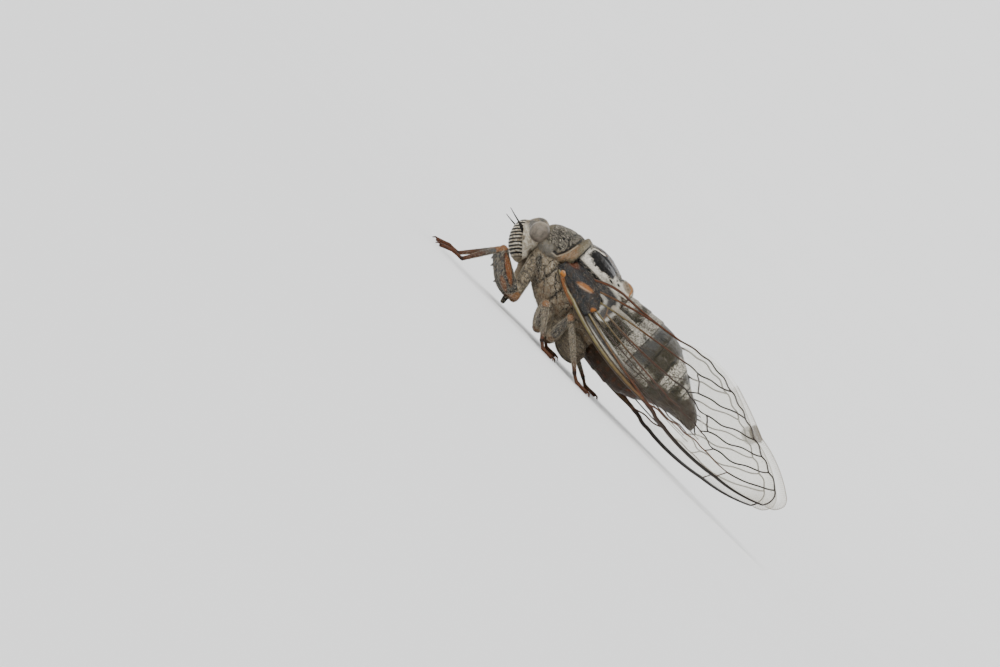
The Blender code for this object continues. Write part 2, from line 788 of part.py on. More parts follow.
def wing(name, junctions, outline, veins, side, depth):
    """A thin sheet on the roof, thickened at each vein's middle line and thin from the vein's foot on."""
    ridges = []
    lines = []
    for first, last, bow, ridged in outline:
        lines.append(arc(junctions[first], junctions[last], bow))
        if ridged:
            ridges.append(lines[-1])
            feet = arc(junctions[first], junctions[last], bow, VEIN_HALF_WIDTH, FOOT_START)
            lines.append(feet)
    for first, last, bow in veins:
        lines.append(arc(junctions[first], junctions[last], bow))
        ridges.append(lines[-1])
        for aside in (-VEIN_HALF_WIDTH, VEIN_HALF_WIDTH):
            lines.append(arc(junctions[first], junctions[last], bow, aside, FOOT_START))
    points = []
    edges = []
    for line in lines:
        edges += [(len(points) + i, len(points) + i + 1) for i in range(len(line) - 1)]
        points += [Vector(point) for point in line]
    points, edges, faces = delaunay_2d_cdt(points, edges, [], 1, JOINED)[:3]
    bm = bmesh.new()
    outer = []
    inner = []
    for x, z in points:
        near = min(distance((x, z), ridge) for ridge in ridges)
        half = (MEMBRANE + (VEIN - MEMBRANE) * max(0.0, 1.0 - near / VEIN_HALF_WIDTH)) / 2
        inward = Vector((roof_slope(x, z, 1, 0), -1.0, roof_slope(x, z, 0, 1))).normalized()
        middle = Vector((x, roof(x, z), z)) + inward * depth
        outer.append(bm.verts.new(mirrored(middle - inward * half, side)))
        inner.append(bm.verts.new(mirrored(middle + inward * half, side)))
    for face in faces:
        bm.faces.new([outer[i] for i in face])
        bm.faces.new([inner[i] for i in reversed(face)])
    for a, b in edges:
        if len([face for face in faces if a in face and b in face]) == 1:
            bm.faces.new((outer[a], outer[b], inner[b], inner[a]))
    obj = new_object(name, bm)
    return roll(obj)


def forewing(side):
    plan = (FOREWING_JUNCTIONS, FOREWING_OUTLINE, FOREWING_VEINS)
    return wing("forewing", *plan, side, 0.0)


def hindwing(side):
    plan = (HINDWING_JUNCTIONS, HINDWING_OUTLINE, HINDWING_VEINS)
    return wing("hindwing", *plan, side, HINDWING_DEPTH)


def finish(obj, name, look, parts):
    """Names the piece, gives it its material, smooths it and brings it to metres."""
    colour, roughness = COLOURS[look]
    material = bpy.data.materials.new(name)
    material.use_nodes = True
    shader = material.node_tree.nodes["Principled BSDF"]
    shader.inputs["Base Color"].default_value = (*colour, 1.0)
    shader.inputs["Roughness"].default_value = roughness
    shader.inputs["Metallic"].default_value = 0.0
    obj.data.transform(Matrix.Scale(MM, 4) @ Matrix.Translation((CENTRE_X, CENTRE_Y, 0)))
    obj.data.materials.clear()
    obj.data.materials.append(material)
    obj.data.shade_smooth()
    obj.data.set_sharp_from_angle(angle=math.radians(35))
    obj.name = name
    bpy.context.scene.collection.objects.unlink(obj)
    parts.objects.link(obj)


def main():
    clear_scene()
    parts = bpy.data.collections.new(OBJECT_NAME)
    bpy.context.scene.collection.children.link(parts)
    both = (LEFT, RIGHT)

    def eyes(grow):
        return [eye(side, grow) for side in both]

    def opercula(grow):
        return [operculum(side, grow) for side in both]

    finish(clypeus(), "clypeus", "clypeus", parts)
    skull = cut(head(), [face_block(), clypeus(GAP), *eyes(GAP)])
    finish(skull, "head", "head", parts)
    mouth = [clypeus(GAP), head(GAP)]
    finish(cut(beak(), mouth), "rostrum", "beak", parts)
    shield = cut(pronotum(), [head(GAP), *eyes(GAP)])
    finish(shield, "pronotum", "pronotum", parts)
    finish(cut(mesonotum(), [pronotum(GAP)]), "mesonotum", "mesonotum", parts)
    around = [head(GAP), *eyes(GAP), clypeus(GAP), beak(GAP), pronotum(SEAM_GAP), mesonotum(SEAM_GAP)]
    trunk = cut(thorax(), around + opercula(GAP))
    finish(trunk, "thorax", "thorax", parts)
    belly = cut(abdomen(), [mesonotum(GAP), *opercula(GAP)])
    finish(belly, "abdomen", "abdomen", parts)
    finish(abdomen_tip(), "abdomen_tip", "abdomen", parts)

    for word, side in SIDES.items():
        finish(eye(side), "eye_" + word, "eye", parts)
        feeler = cut(antenna(side), [head(GAP), clypeus(GAP)])
        finish(feeler, "antenna_" + word, "antenna", parts)
        finish(operculum(side), "operculum_" + word, "operculum", parts)
        around = [thorax(GAP), pronotum(GAP), mesonotum(GAP), abdomen(GAP)]
        finish(cut(forewing(side), around), "forewing_" + word, "forewing", parts)
        around = [thorax(GAP), pronotum(GAP), mesonotum(GAP), abdomen(SEAM_GAP)]
        finish(cut(hindwing(side), around), "hindwing_" + word, "hindwing", parts)
        for pair in LEGS:
            around = [thorax(SEAM_GAP), beak(GAP), head(GAP), clypeus(GAP), pronotum(GAP)]
            hip = cut(coxa(pair, side), around + opercula(GAP))
            finish(hip, f"{pair}_coxa_{word}", "leg", parts)
            thigh = cut(femur(pair, side), [coxa(pair, side, GAP)])
            finish(thigh, f"{pair}_femur_{word}", "leg", parts)
            shin = cut(tibia(pair, side), [femur(pair, side, GAP)])
            finish(shin, f"{pair}_tibia_{word}", "leg", parts)
            finish(tarsus(pair, side), f"{pair}_tarsus_{word}", "leg", parts)


main()
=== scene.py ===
"""The finished looks of a resting cicada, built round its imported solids.

Shapes are drawn in millimetres. The body and the wings are drawn level, with the head to -X and the insect's
left side to -Y, and are then rolled a little onto the right side; the legs are drawn on the floor, z = 0.
The last step of every piece brings it to metres and into the frame of the solids.
"""

import math

import bpy
import numpy as np
from bpy.props import FloatProperty, FloatVectorProperty, IntProperty, PointerProperty
from mathutils import Matrix, Vector


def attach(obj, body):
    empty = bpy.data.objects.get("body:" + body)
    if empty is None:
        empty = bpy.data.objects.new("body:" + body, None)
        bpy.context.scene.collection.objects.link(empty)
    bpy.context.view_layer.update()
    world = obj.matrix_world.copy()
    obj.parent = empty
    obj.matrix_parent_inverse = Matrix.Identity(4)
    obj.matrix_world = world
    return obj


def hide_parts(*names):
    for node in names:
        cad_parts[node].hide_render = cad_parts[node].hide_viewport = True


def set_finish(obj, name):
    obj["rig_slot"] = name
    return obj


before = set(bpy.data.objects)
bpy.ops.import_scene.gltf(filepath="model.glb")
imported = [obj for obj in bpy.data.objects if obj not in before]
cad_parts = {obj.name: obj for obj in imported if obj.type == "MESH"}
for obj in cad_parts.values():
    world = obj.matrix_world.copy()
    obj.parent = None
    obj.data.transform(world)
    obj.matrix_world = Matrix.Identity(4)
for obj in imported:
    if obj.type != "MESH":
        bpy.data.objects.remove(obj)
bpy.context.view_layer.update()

bl_info = {
    "name": "Cicada",
    "version": (1, 0, 0),
    "blender": (4, 5, 0),
    "location": "3D View > Sidebar > Cicada",
    "description": "Builds the finished looks of a resting cicada round its solids",
    "category": "Add Mesh",
}

MM = 0.001
BODY = "root"
LEFT = -1
RIGHT = 1
SIDES = {"left": LEFT, "right": RIGHT}
NO_ROLL = Matrix.Identity(4)

# The roll of the body about a line along X, and the place of the drawing's origin in the frame.
ROLL_DEG = 6.5
ROLL_HEIGHT = 6.5
CENTRE = Vector((1.3, 0.4, 0.0))
ROLL = (
    Matrix.Translation((0, 0, ROLL_HEIGHT))
    @ Matrix.Rotation(math.radians(-ROLL_DEG), 4, "X")
    @ Matrix.Translation((0, 0, -ROLL_HEIGHT))
)

# Face sizes of the melted skins, the gap within which points are merged, in mm for the cicada and in metres
# for the floor, and the angle from which an edge stays sharp.
PLATE_VOXEL = 0.06
TRUNK_VOXEL = 0.075
LIMB_VOXEL = 0.05
JOIN_GAP = 0.0005
FLOOR_GAP = 0.0001
SHARP_EDGE = math.radians(60)

# Trunk plates: x, crown height, height of the widest level, underside height, half width.
PRONOTUM = (
    (-15.55, 9.2, 7.7, 7.1, 3.2),
    (-15.3, 9.6, 7.6, 6.8, 3.7),
    (-14.9, 9.95, 7.4, 6.4, 4.1),
    (-13.9, 10.4, 7.2, 6.1, 4.45),
    (-12.8, 10.7, 7.4, 6.3, 4.65),
    (-12.2, 10.78, 7.6, 6.6, 4.8),
    (-11.9, 10.95, 7.8, 6.8, 4.98),
    (-11.35, 11.0, 8.1, 7.1, 4.95),
    (-11.15, 10.85, 8.15, 7.3, 4.75),
)
MESONOTUM = (
    (-11.9, 10.6, 8.3, 7.5, 3.85),
    (-10.6, 11.15, 8.4, 7.5, 4.25),
    (-9.2, 11.3, 8.5, 7.6, 4.2),
    (-7.8, 11.0, 8.7, 7.8, 3.75),
    (-6.4, 10.5, 9.0, 8.2, 2.7),
    (-4.9, 9.95, 9.1, 8.5, 1.8),
)
THORAX = (
    (-14.9, 7.6, 6.6, 5.5, 2.7),
    (-13.6, 8.7, 6.6, 4.5, 3.6),
    (-12.2, 9.2, 6.5, 3.5, 4.1),
    (-10.6, 9.4, 6.3, 2.7, 4.25),
    (-8.6, 9.4, 6.2, 2.3, 4.2),
    (-6.6, 9.5, 6.1, 2.2, 4.0),
    (-4.3, 9.6, 6.1, 2.3, 3.8),
)
ABDOMEN = (
    (-4.7, 10.1, 6.2, 2.3, 3.8),
    (-2.5, 10.3, 6.2, 2.1, 4.0),
    (0.0, 10.4, 6.3, 2.0, 3.95),
    (2.1, 10.0, 6.3, 2.6, 3.55),
    (4.1, 8.85, 6.3, 3.75, 3.05),
    (5.7, 7.85, 6.1, 4.25, 2.35),
    (7.2, 6.95, 5.8, 4.5, 1.65),
    (8.1, 6.35, 5.5, 4.5, 1.15),
    (8.6, 5.9, 5.3, 4.55, 0.75),
    (8.95, 5.35, 5.05, 4.75, 0.2),
)
TRUNK_SIDES = 48
BELLY_AXIS = 6.1
RINGS_BELLY = (-4.7, -3.9, -2.3, -0.6, 1.1, 2.8, 4.4, 5.8, 7.1)

# The cross lobe: the middle of its arms, their ends on one side, and the centre and radii of the lobe.
CROSS_CENTRE = (-5.7, 0.0, 10.35)
CROSS_ENDS = ((-7.1, 1.6, 9.95), (-4.9, 1.3, 9.8))
CROSS_LOBE = ((-5.65, 0, 10.35), (0.75, 0.6, 0.45))

# Head, from its middle out to one side: y, x and z of the section's centre, half depth, half height.
HEAD = (
    (0.0, -16.15, 6.9, 1.35, 2.28),
    (1.1, -16.15, 6.95, 1.35, 2.22),
    (2.1, -16.1, 7.25, 1.25, 1.9),
    (2.9, -15.95, 7.6, 1.05, 1.35),
    (3.5, -15.8, 7.75, 0.75, 0.85),
)
HEAD_SIDES = 40
# Lumps on both sides: the cheek, the ledge over the feeler, the seat of the eye and the feeler's root.
HEAD_LUMPS = (
    ((-16.0, 1.55, 5.3), (1.15, 0.6, 1.1)),
    ((-17.05, 1.75, 7.75), (0.5, 0.85, 0.28)),
    ((-15.85, 2.95, 7.62), (0.9, 0.4, 0.98)),
    ((-16.95, 1.6, 6.95), (0.45, 0.4, 0.4)),
)
EYE_CENTRE = (-15.75, 3.7, 7.66)
EYE_RADII = (1.02, 1.0, 1.06)
OCELLI = ((-16.75, 0.0, 8.85), (-16.1, 0.6, 9.0), (-16.1, -0.6, 9.0))
NOSE_TOP = (-17.65, 8.0)
NOSE_FOOT = (-14.95, 4.45)
NOSE_HALF_WIDTH = 1.65
NOSE_HALF_DEPTH = 1.5
NOSE_INNER_DEPTH = 0.75
NOSE_BAR = 0.345
NOSE_RIB = 0.045
NOSE_GROOVE = (0.1, 0.16)
NOSE_RINGS = 96
NOSE_SIDES = 56
# The face is flat on both sides of the nose shield and slopes back down to the mouth: x + z there.
FACE_LEVEL = -10.35

FEELER_BASE = ((-16.9, 1.55, 6.9), (-17.2, 1.75, 6.94), (-17.55, 1.95, 6.99), (-17.7, 2.05, 7.02))
FEELER_BRISTLE = ((-17.6, 2.0, 7.0), (-18.1, 2.4, 7.1), (-18.8, 2.98, 7.22), (-19.5, 3.53, 7.36))
BEAK = ((-14.9, 0.0, 5.1), (-14.3, 0.0, 3.6), (-13.8, 0.0, 2.1), (-13.5, 0.0, 0.45))

COVER_CENTRE = (-5.6, 2.3, 2.0)
COVER_RADII = (1.75, 1.7, 0.45)
COVER_TILT_DEG = 40.0
COVER_SLOPE_DEG = 12.0

# Legs: hip on the body, then joints and toe on the left side, on the floor.
SLIM_LEG = {"heel": (0.35, 0.22), "coxa": (0.9, 0.55), "femur": 0.5, "tibia": (0.34, 0.22), "bow": 0.0}
LEGS = {
    "fore": {
        "hip": (-14.2, 1.95, 5.7),
        "joints": ((-13.05, -2.1, 1.95), (-17.15, -2.8, 4.4), (-19.35, -2.65, 0.75)),
        "heel": (0.5, 0.7),
        "toe": (-21.85, -2.8),
        "coxa": (0.72, 0.5),
        "femur": 0.85,
        "tibia": (0.31, 0.22),
        "bow": 0.5,
    },
    "mid": {
        "hip": (-9.9, 2.1, 3.3),
        "joints": ((-9.1, -2.45, 1.15), (-10.3, -4.75, 3.5), (-8.05, -5.85, 0.7)),
        "toe": (-6.2, -6.5),
        **SLIM_LEG,
    },
    "hind": {
        "hip": (-7.9, 2.0, 3.1),
        "joints": ((-7.55, -2.9, 1.4), (-7.6, -5.35, 4.3), (-3.5, -6.3, 0.7)),
        "toe": (-1.35, -6.6),
        **SLIM_LEG,
    },
}
RIGHT_SHIFT = {"fore": -0.8, "mid": 0.3, "hind": 1.2}
LOWEST_HINGE = 0.95
SOLE_HEIGHT = 0.22
FEMUR_SHAPE = ((0.0, 0.6), (0.18, 0.9), (0.45, 1.0), (0.8, 0.76), (1.0, 0.58))
FEMUR_SPINES = ((0.5, 0.25), (0.8, 0.35), (0.92, 0.3))
TIBIA_SPINES = (0.35, 0.6, 0.8)
TIBIA_KNOTS = (0.0, 0.12, 0.55, 0.93, 1.0)
TARSUS_RADIUS = 0.2

# The roof on which the folded wing lies. Along its front edge: x, height, distance from the midline, and
# the height at which the roof would reach the midline.
ROOF_LINE = (
    (-12.6, 7.0, 3.9, 13.2),
    (-11.3, 6.4, 4.45, 13.2),
    (-7.6, 4.5, 5.9, 13.2),
    (-3.1, 3.3, 7.0, 13.2),
    (1.0, 3.0, 7.25, 12.9),
    (5.0, 2.75, 7.0, 12.4),
    (10.7, 2.5, 6.1, 11.9),
    (17.0, 3.2, 4.9, 11.0),
    (21.0, 5.0, 4.1, 10.0),
)
ROOF_POWER = 1.7
ROOF_STEP = 0.05

# Wing drawings in x and z.
FOREWING_JUNCTIONS = {
    "root_low": (-11.7, 6.3), "root_high": (-11.4, 7.3), "costa_base": (-8.7, 5.0),
    "radius_base": (-8.5, 5.7), "basal": (-8.3, 6.4), "claval_base": (-8.3, 7.15), "heel": (-8.7, 7.9),
    "shoulder": (-5.5, 9.15), "anal": (1.75, 9.95), "hind_a": (9.2, 11.0), "hind_b": (14.3, 8.95),
    "tip_low": (19.9, 4.45), "tip": (20.5, 5.45), "tip_high": (20.1, 6.35), "costa_end": (18.8, 4.05),
    "costa_foot": (13.4, 2.62), "node": (3.4, 2.88), "arculus_top": (-5.7, 6.95),
    "arculus_mid": (-5.4, 6.35), "arculus_low": (-5.2, 5.7), "fork_1": (5.1, 8.9), "fork_2": (6.6, 7.45),
    "branch_2": (5.7, 6.7), "fork_3": (8.7, 6.3), "fork_4": (9.9, 5.3), "branch_4": (9.2, 4.85),
    "fork_5": (11.5, 4.5), "branch_5": (10.8, 3.75), "fork_6": (14.0, 3.8), "rim_1": (8.9, 10.1),
    "rim_2": (11.7, 9.2), "rim_3": (13.8, 8.3), "rim_4": (15.5, 7.6), "rim_5": (17.1, 6.95),
    "rim_6": (18.7, 6.1),
}
# Edges and veins are arcs between junctions: first, last, how far the middle bows to the left. A vein has
# its radius at both ends and its tone at both, from 0 for olive through 0.5 for red brown to 1 for dark.
FOREWING_FRONT = (
    ("root_high", "root_low", 0.0), ("root_low", "costa_base", -0.15), ("costa_base", "node", -0.7),
    ("node", "costa_foot", -0.55), ("costa_foot", "costa_end", -0.25), ("costa_end", "tip_low", -0.05),
    ("tip_low", "tip", -0.1),
)
FOREWING_REAR = (
    ("root_high", "heel", 0.0), ("heel", "shoulder", 0.2), ("shoulder", "anal", -0.2), ("anal", "hind_a", 0.8),
    ("hind_a", "hind_b", 0.1), ("hind_b", "tip_high", 0.45), ("tip_high", "tip", 0.1),
)
FOREWING_VEINS = (
    ("root_low", "costa_base", -0.15, 0.22, 0.3, 0.0, 0.0),
    ("costa_base", "node", -0.7, 0.3, 0.21, 0.0, 0.4),
    ("node", "costa_foot", -0.55, 0.2, 0.15, 0.75, 0.95),
    ("costa_foot", "costa_end", -0.25, 0.15, 0.08, 0.95, 1.0),
    ("anal", "shoulder", 0.2, 0.1, 0.12, 0.6, 0.55),
    ("shoulder", "heel", -0.2, 0.12, 0.16, 0.55, 0.5),
    ("heel", "root_high", 0.0, 0.16, 0.2, 0.5, 0.4),
    ("costa_base", "radius_base", 0.0, 0.12, 0.12, 0.3, 0.3),
    ("radius_base", "basal", 0.0, 0.14, 0.14, 0.2, 0.3),
    ("basal", "claval_base", 0.0, 0.14, 0.14, 0.3, 0.5),
    ("claval_base", "heel", 0.0, 0.12, 0.12, 0.5, 0.5),
    ("claval_base", "anal", 0.3, 0.13, 0.08, 0.35, 0.65),
    ("radius_base", "node", -0.25, 0.17, 0.12, 0.1, 0.6),
    ("basal", "arculus_top", 0.0, 0.12, 0.1, 0.1, 0.15),
    ("basal", "arculus_low", -0.1, 0.12, 0.1, 0.1, 0.2),
    ("arculus_top", "arculus_mid", 0.0, 0.09, 0.09, 0.3, 0.4),
    ("arculus_mid", "arculus_low", 0.0, 0.09, 0.09, 0.4, 0.4),
    ("arculus_top", "fork_1", 0.05, 0.1, 0.07, 0.15, 0.85),
    ("arculus_mid", "branch_2", -0.35, 0.09, 0.07, 0.25, 0.9),
    ("branch_2", "fork_2", 0.0, 0.07, 0.06, 0.9, 1.0),
    ("branch_2", "fork_3", -0.2, 0.065, 0.06, 0.9, 1.0),
    ("arculus_low", "branch_4", -0.35, 0.09, 0.065, 0.2, 0.85),
    ("branch_4", "fork_4", 0.0, 0.065, 0.06, 0.9, 1.0),
    ("branch_4", "fork_5", -0.1, 0.06, 0.06, 0.8, 0.9),
    ("node", "branch_5", 0.1, 0.08, 0.06, 0.6, 0.6),
    ("branch_5", "fork_5", 0.0, 0.06, 0.06, 0.8, 0.9),
    ("branch_5", "fork_6", -0.1, 0.06, 0.055, 0.6, 0.7),
    ("costa_foot", "fork_6", 0.0, 0.055, 0.055, 0.7, 0.8),
    ("fork_1", "fork_2", 0.0, 0.075, 0.075, 1.0, 1.0),
    ("fork_3", "fork_4", 0.0, 0.075, 0.075, 1.0, 1.0),
    ("fork_1", "rim_1", -0.15, 0.08, 0.075, 0.95, 1.0),
    ("fork_2", "rim_2", -0.1, 0.08, 0.07, 1.0, 1.0),
    ("fork_3", "rim_3", -0.1, 0.075, 0.07, 1.0, 1.0),
    ("fork_4", "rim_4", -0.2, 0.075, 0.07, 1.0, 1.0),
    ("fork_5", "rim_5", -0.45, 0.075, 0.07, 0.9, 1.0),
    ("fork_6", "rim_6", -0.3, 0.075, 0.07, 0.8, 1.0),
    ("anal", "rim_1", 0.65, 0.09, 0.075, 0.7, 1.0),
    ("rim_1", "rim_2", 0.05, 0.075, 0.075, 1.0, 1.0),
    ("rim_2", "rim_3", 0.05, 0.075, 0.075, 1.0, 1.0),
    ("rim_3", "rim_4", 0.05, 0.075, 0.075, 1.0, 1.0),
    ("rim_4", "rim_5", 0.05, 0.075, 0.075, 1.0, 1.0),
    ("rim_5", "rim_6", 0.1, 0.075, 0.075, 1.0, 1.0),
    ("rim_6", "costa_end", 0.4, 0.075, 0.075, 1.0, 1.0),
)
HINDWING_JUNCTIONS = {
    "root_low": (-10.2, 6.3), "root_high": (-10.0, 7.2), "front_node": (-2.0, 4.5), "front_end": (8.6, 3.6),
    "tip": (9.95, 4.5), "rear_1": (8.6, 6.5), "rear_2": (5.0, 8.3), "rear_3": (0.6, 8.0),
    "rear_4": (-4.4, 7.8), "fork_1": (3.4, 5.0), "fork_2": (-1.6, 6.6), "fork_3": (3.0, 6.9),
}
HINDWING_FRONT = (
    ("root_high", "root_low", 0.0), ("root_low", "front_node", -0.35), ("front_node", "front_end", -0.25),
    ("front_end", "tip", -0.3),
)
HINDWING_REAR = (
    ("root_high", "rear_4", 0.1), ("rear_4", "rear_3", 0.15), ("rear_3", "rear_2", 0.2),
    ("rear_2", "rear_1", 0.2), ("rear_1", "tip", 0.3),
)
HINDWING_VEINS = (
    ("root_low", "front_node", -0.35, 0.12, 0.08, 0.3, 0.6),
    ("front_node", "front_end", -0.25, 0.08, 0.05, 0.6, 0.9),
    ("root_low", "fork_1", -0.2, 0.09, 0.05, 0.4, 0.7),
    ("front_node", "fork_1", 0.0, 0.05, 0.05, 0.6, 0.7),
    ("fork_1", "tip", -0.1, 0.045, 0.04, 0.8, 0.9),
    ("fork_1", "rear_1", 0.0, 0.045, 0.04, 0.8, 0.9),
    ("root_high", "fork_2", 0.0, 0.08, 0.06, 0.4, 0.6),
    ("fork_2", "fork_3", 0.0, 0.05, 0.045, 0.6, 0.8),
    ("fork_3", "fork_1", 0.0, 0.045, 0.045, 0.8, 0.8),
    ("fork_3", "rear_2", 0.0, 0.045, 0.04, 0.8, 0.9),
    ("fork_2", "rear_3", 0.0, 0.045, 0.04, 0.7, 0.9),
    ("fork_2", "rear_4", 0.0, 0.045, 0.04, 0.7, 0.9),
)
HINDWING_DEPTH = 1.1
# Points along a wing's edges and across it, along each arc and round the whole rim.
WING_STEPS = 220
WING_ROWS = 36
ARC_STEPS = 24
RIM_STEPS = 1200
# The hem: its width, its gap from the inner veins, where it starts along X, and at which step of the front edge.
HEM_WIDTH = 0.9
HEM_GAP = 0.2
HEM_START = 9
HEM_FRONT = 170
# Dark base and dark front strip of the fore wing, in x and z, and the slope of the rolled body's sides.
WING_BASE = ((-8.4, 7.9), (-7.0, 8.1), (-5.9, 7.9), (-5.5, 7.0), (-5.6, 6.2))
WING_STRIP = ((-9.5, 5.6), (-8.2, 5.2), (-6.5, 4.75), (-4.5, 4.3), (-1.5, 3.75), (1.0, 3.45))
ROLL_SLOPE = 0.113
# Opaque root of the fore wing, between two edges, with raised ribs.
HINGE_LOW = ((-12.0, 6.4), (-10.9, 6.1), (-9.4, 5.45), (-8.2, 5.05), (-6.8, 4.65))
HINGE_HIGH = ((-11.7, 7.7), (-10.7, 8.15), (-9.0, 8.1), (-7.4, 7.45), (-6.2, 6.1))
HINGE_RIBS = (
    (((-11.6, 6.75), (-9.6, 6.3), (-8.0, 5.85), (-6.6, 5.5)), 0.2),
    (((-11.3, 7.4), (-9.6, 7.5), (-8.2, 7.35), (-7.0, 7.0)), 0.16),
    (((-8.1, 7.3), (-7.7, 6.5), (-7.4, 5.8)), 0.14),
    (((-11.0, 5.95), (-10.3, 5.5), (-9.3, 5.0), (-8.3, 4.6)), 0.17),
)
HINGE_ROWS = 20
HINGE_BULGE = 0.16
HINGE_THICKNESS = 0.3
KNOB_PLACE = (-11.1, 6.3)

# Colours of the shell, the wings and the legs: name, where it is seen, and red, green and blue.
COLOURS = (
    ("silver", "Whitest down and bloom", (0.58, 0.54, 0.45)),
    ("dust", "Pale down", (0.3, 0.255, 0.185)),
    ("buff", "Pale brown of the head and the flanks", (0.15, 0.118, 0.076)),
    ("grey", "Grey brown of the plates and legs", (0.058, 0.05, 0.038)),
    ("slate", "Blue grey shell", (0.045, 0.05, 0.056)),
    ("brown", "Dark brown shell", (0.022, 0.011, 0.004)),
    ("dark", "Black shell", (0.004, 0.0036, 0.003)),
    ("orange", "Joints and patches", (0.25, 0.092, 0.016)),
    ("olive", "Front veins of the wing", (0.1, 0.078, 0.02)),
    ("rust", "Inner veins of the wing and the feet", (0.08, 0.022, 0.006)),
    ("membrane", "Clear sheet of the wing", (0.74, 0.71, 0.6)),
    ("eye", "Eye", (0.135, 0.112, 0.086)),
)


class CicadaSizes(bpy.types.PropertyGroup):
    """Sizes of the fine parts."""

    membrane: FloatProperty(
        name="Membrane", description="Thickness of the wing's clear sheet", default=0.00005, unit="LENGTH", precision=6
    )
    vein_scale: FloatProperty(
        name="Veins", description="Width of the veins against the drawn one", default=1.1, min=0.2, subtype="FACTOR"
    )
    down_length: FloatProperty(
        name="Down length", description="Longest hairs of the down", default=0.00026, unit="LENGTH", precision=6
    )
    down_count: IntProperty(name="Down", description="Hairs on a skin whose share is one", default=9000, min=0)
    relief: FloatProperty(
        name="Relief", description="Depth of the pits and wrinkles of the plates", default=0.00006, unit="LENGTH",
        precision=6,
    )


class CicadaColours(bpy.types.PropertyGroup):
    """Colours of the shell, the wings and the legs."""

    __annotations__ = {
        key: FloatVectorProperty(name=key.capitalize(), description=where, subtype="COLOR", default=value)
        for key, where, value in COLOURS
    }


class CicadaStage(bpy.types.PropertyGroup):
    """Camera, floor and light."""

    lens: FloatProperty(name="Lens", description="Focal length", default=120.0, subtype="DISTANCE_CAMERA")
    elevation: FloatProperty(
        name="Elevation", description="Camera's look down", default=math.radians(2.0), subtype="ANGLE"
    )
    turn: FloatProperty(
        name="Turn", description="Camera's turn about its line of sight", default=math.radians(45.0), subtype="ANGLE"
    )
    place: FloatVectorProperty(
        name="Camera", description="Camera's place in the drawing, in mm", default=(-11.43, -333.13, 9.71)
    )
    flat: FloatProperty(name="Flat", description="Radius of the floor's flat middle", default=0.5, unit="LENGTH")
    floor: FloatProperty(name="Sweep", description="Radius of the sweep round the floor", default=2.4, unit="LENGTH")
    key: FloatProperty(name="Key light", description="Strength of the key light", default=3.7)
    fill: FloatProperty(name="Fill light", description="Strength of the world's light", default=0.5)


def sizes():
    return bpy.context.scene.cicada_sizes


def colours():
    return bpy.context.scene.cicada_colours


# Shaping


def begin():
    """Object mode with nothing selected."""
    if bpy.context.mode != "OBJECT":
        bpy.ops.object.mode_set(mode="OBJECT")
    bpy.ops.object.select_all(action="DESELECT")


def choose(obj):
    """Only this piece selected and active."""
    begin()
    obj.select_set(True)
    bpy.context.view_layer.objects.active = obj
    return obj


def apply(obj, kind, **settings):
    """Adds a modifier with its settings and applies it."""
    choose(obj)
    modifier = obj.modifiers.new(kind.lower(), kind)
    for key, value in settings.items():
        setattr(modifier, key, value)
    bpy.ops.object.modifier_apply(modifier=modifier.name)
    return obj


def through(stations, steps):
    """Rows on a smooth curve through the stations, with this many steps between each two."""
    rows = np.array(stations, float)
    padded = np.vstack([2 * rows[0] - rows[1], rows, 2 * rows[-1] - rows[-2]])
    found = []
    for before, start, end, after in zip(padded, padded[1:], padded[2:], padded[3:]):
        for step in range(steps):
            t = step / steps
            rise = end - before
            turn = 2 * before - 5 * start + 4 * end - after
            twist = 3 * start - before - 3 * end + after
            found.append(0.5 * (2 * start + rise * t + turn * t**2 + twist * t**3))
    found.append(rows[-1])
    return np.array(found)


def sheet(rows):
    """A grid whose points are laid row by row."""
    rows = np.array(rows, float)
    begin()
    bpy.ops.mesh.primitive_grid_add(x_subdivisions=rows.shape[1] - 1, y_subdivisions=rows.shape[0] - 1)
    set_points(bpy.context.object, rows.reshape(-1, 3))
    return bpy.context.object


def joined(obj, gap=0.0, fill=False, outward=False):
    """Merges points within a gap, fills open ends and turns the faces outward, each where it is asked."""
    choose(obj)
    bpy.ops.object.mode_set(mode="EDIT")
    bpy.ops.mesh.select_all(action="SELECT")
    if gap:
        bpy.ops.mesh.remove_doubles(threshold=gap)
    if fill:
        bpy.ops.mesh.fill_holes(sides=0)
    if outward:
        bpy.ops.mesh.normals_make_consistent(inside=False)
    bpy.ops.object.mode_set(mode="OBJECT")
    return obj


def hull(rings):
    """A closed tube through rings of the same number of points, with both ends filled."""
    return joined(sheet([[*ring, ring[0]] for ring in rings]), JOIN_GAP, fill=True, outward=True)


def ball(centre, radii, turn=(0.0, 0.0, 0.0), segments=24, rows=16):
    """An ellipsoid, turned by degrees about the three axes."""
    begin()
    bpy.ops.mesh.primitive_uv_sphere_add(segments=segments, ring_count=rows, radius=1.0)
    obj = bpy.context.object
    obj.scale = radii
    obj.rotation_euler = [math.radians(angle) for angle in turn]
    obj.location = centre
    bpy.ops.object.transform_apply(location=True, rotation=True, scale=True)
    return obj


def pipe(points, radii, sides=12):
    """A round rod through points with a radius at each."""
    route = [Vector(point) for point in points]
    rings = []
    for i, point in enumerate(route):
        ahead = (route[min(i + 1, len(route) - 1)] - route[max(i - 1, 0)]).normalized()
        across = ahead.cross(Vector((0, 0, 1)))
        if across.length < 0.05:
            across = ahead.cross(Vector((1, 0, 0)))
        across.normalize()
        over = across.cross(ahead)
        ring = []
        for k in range(sides):
            angle = math.tau * k / sides
            ring.append(point + (across * math.cos(angle) + over * math.sin(angle)) * radii[i])
        rings.append(ring)
    return hull(rings)


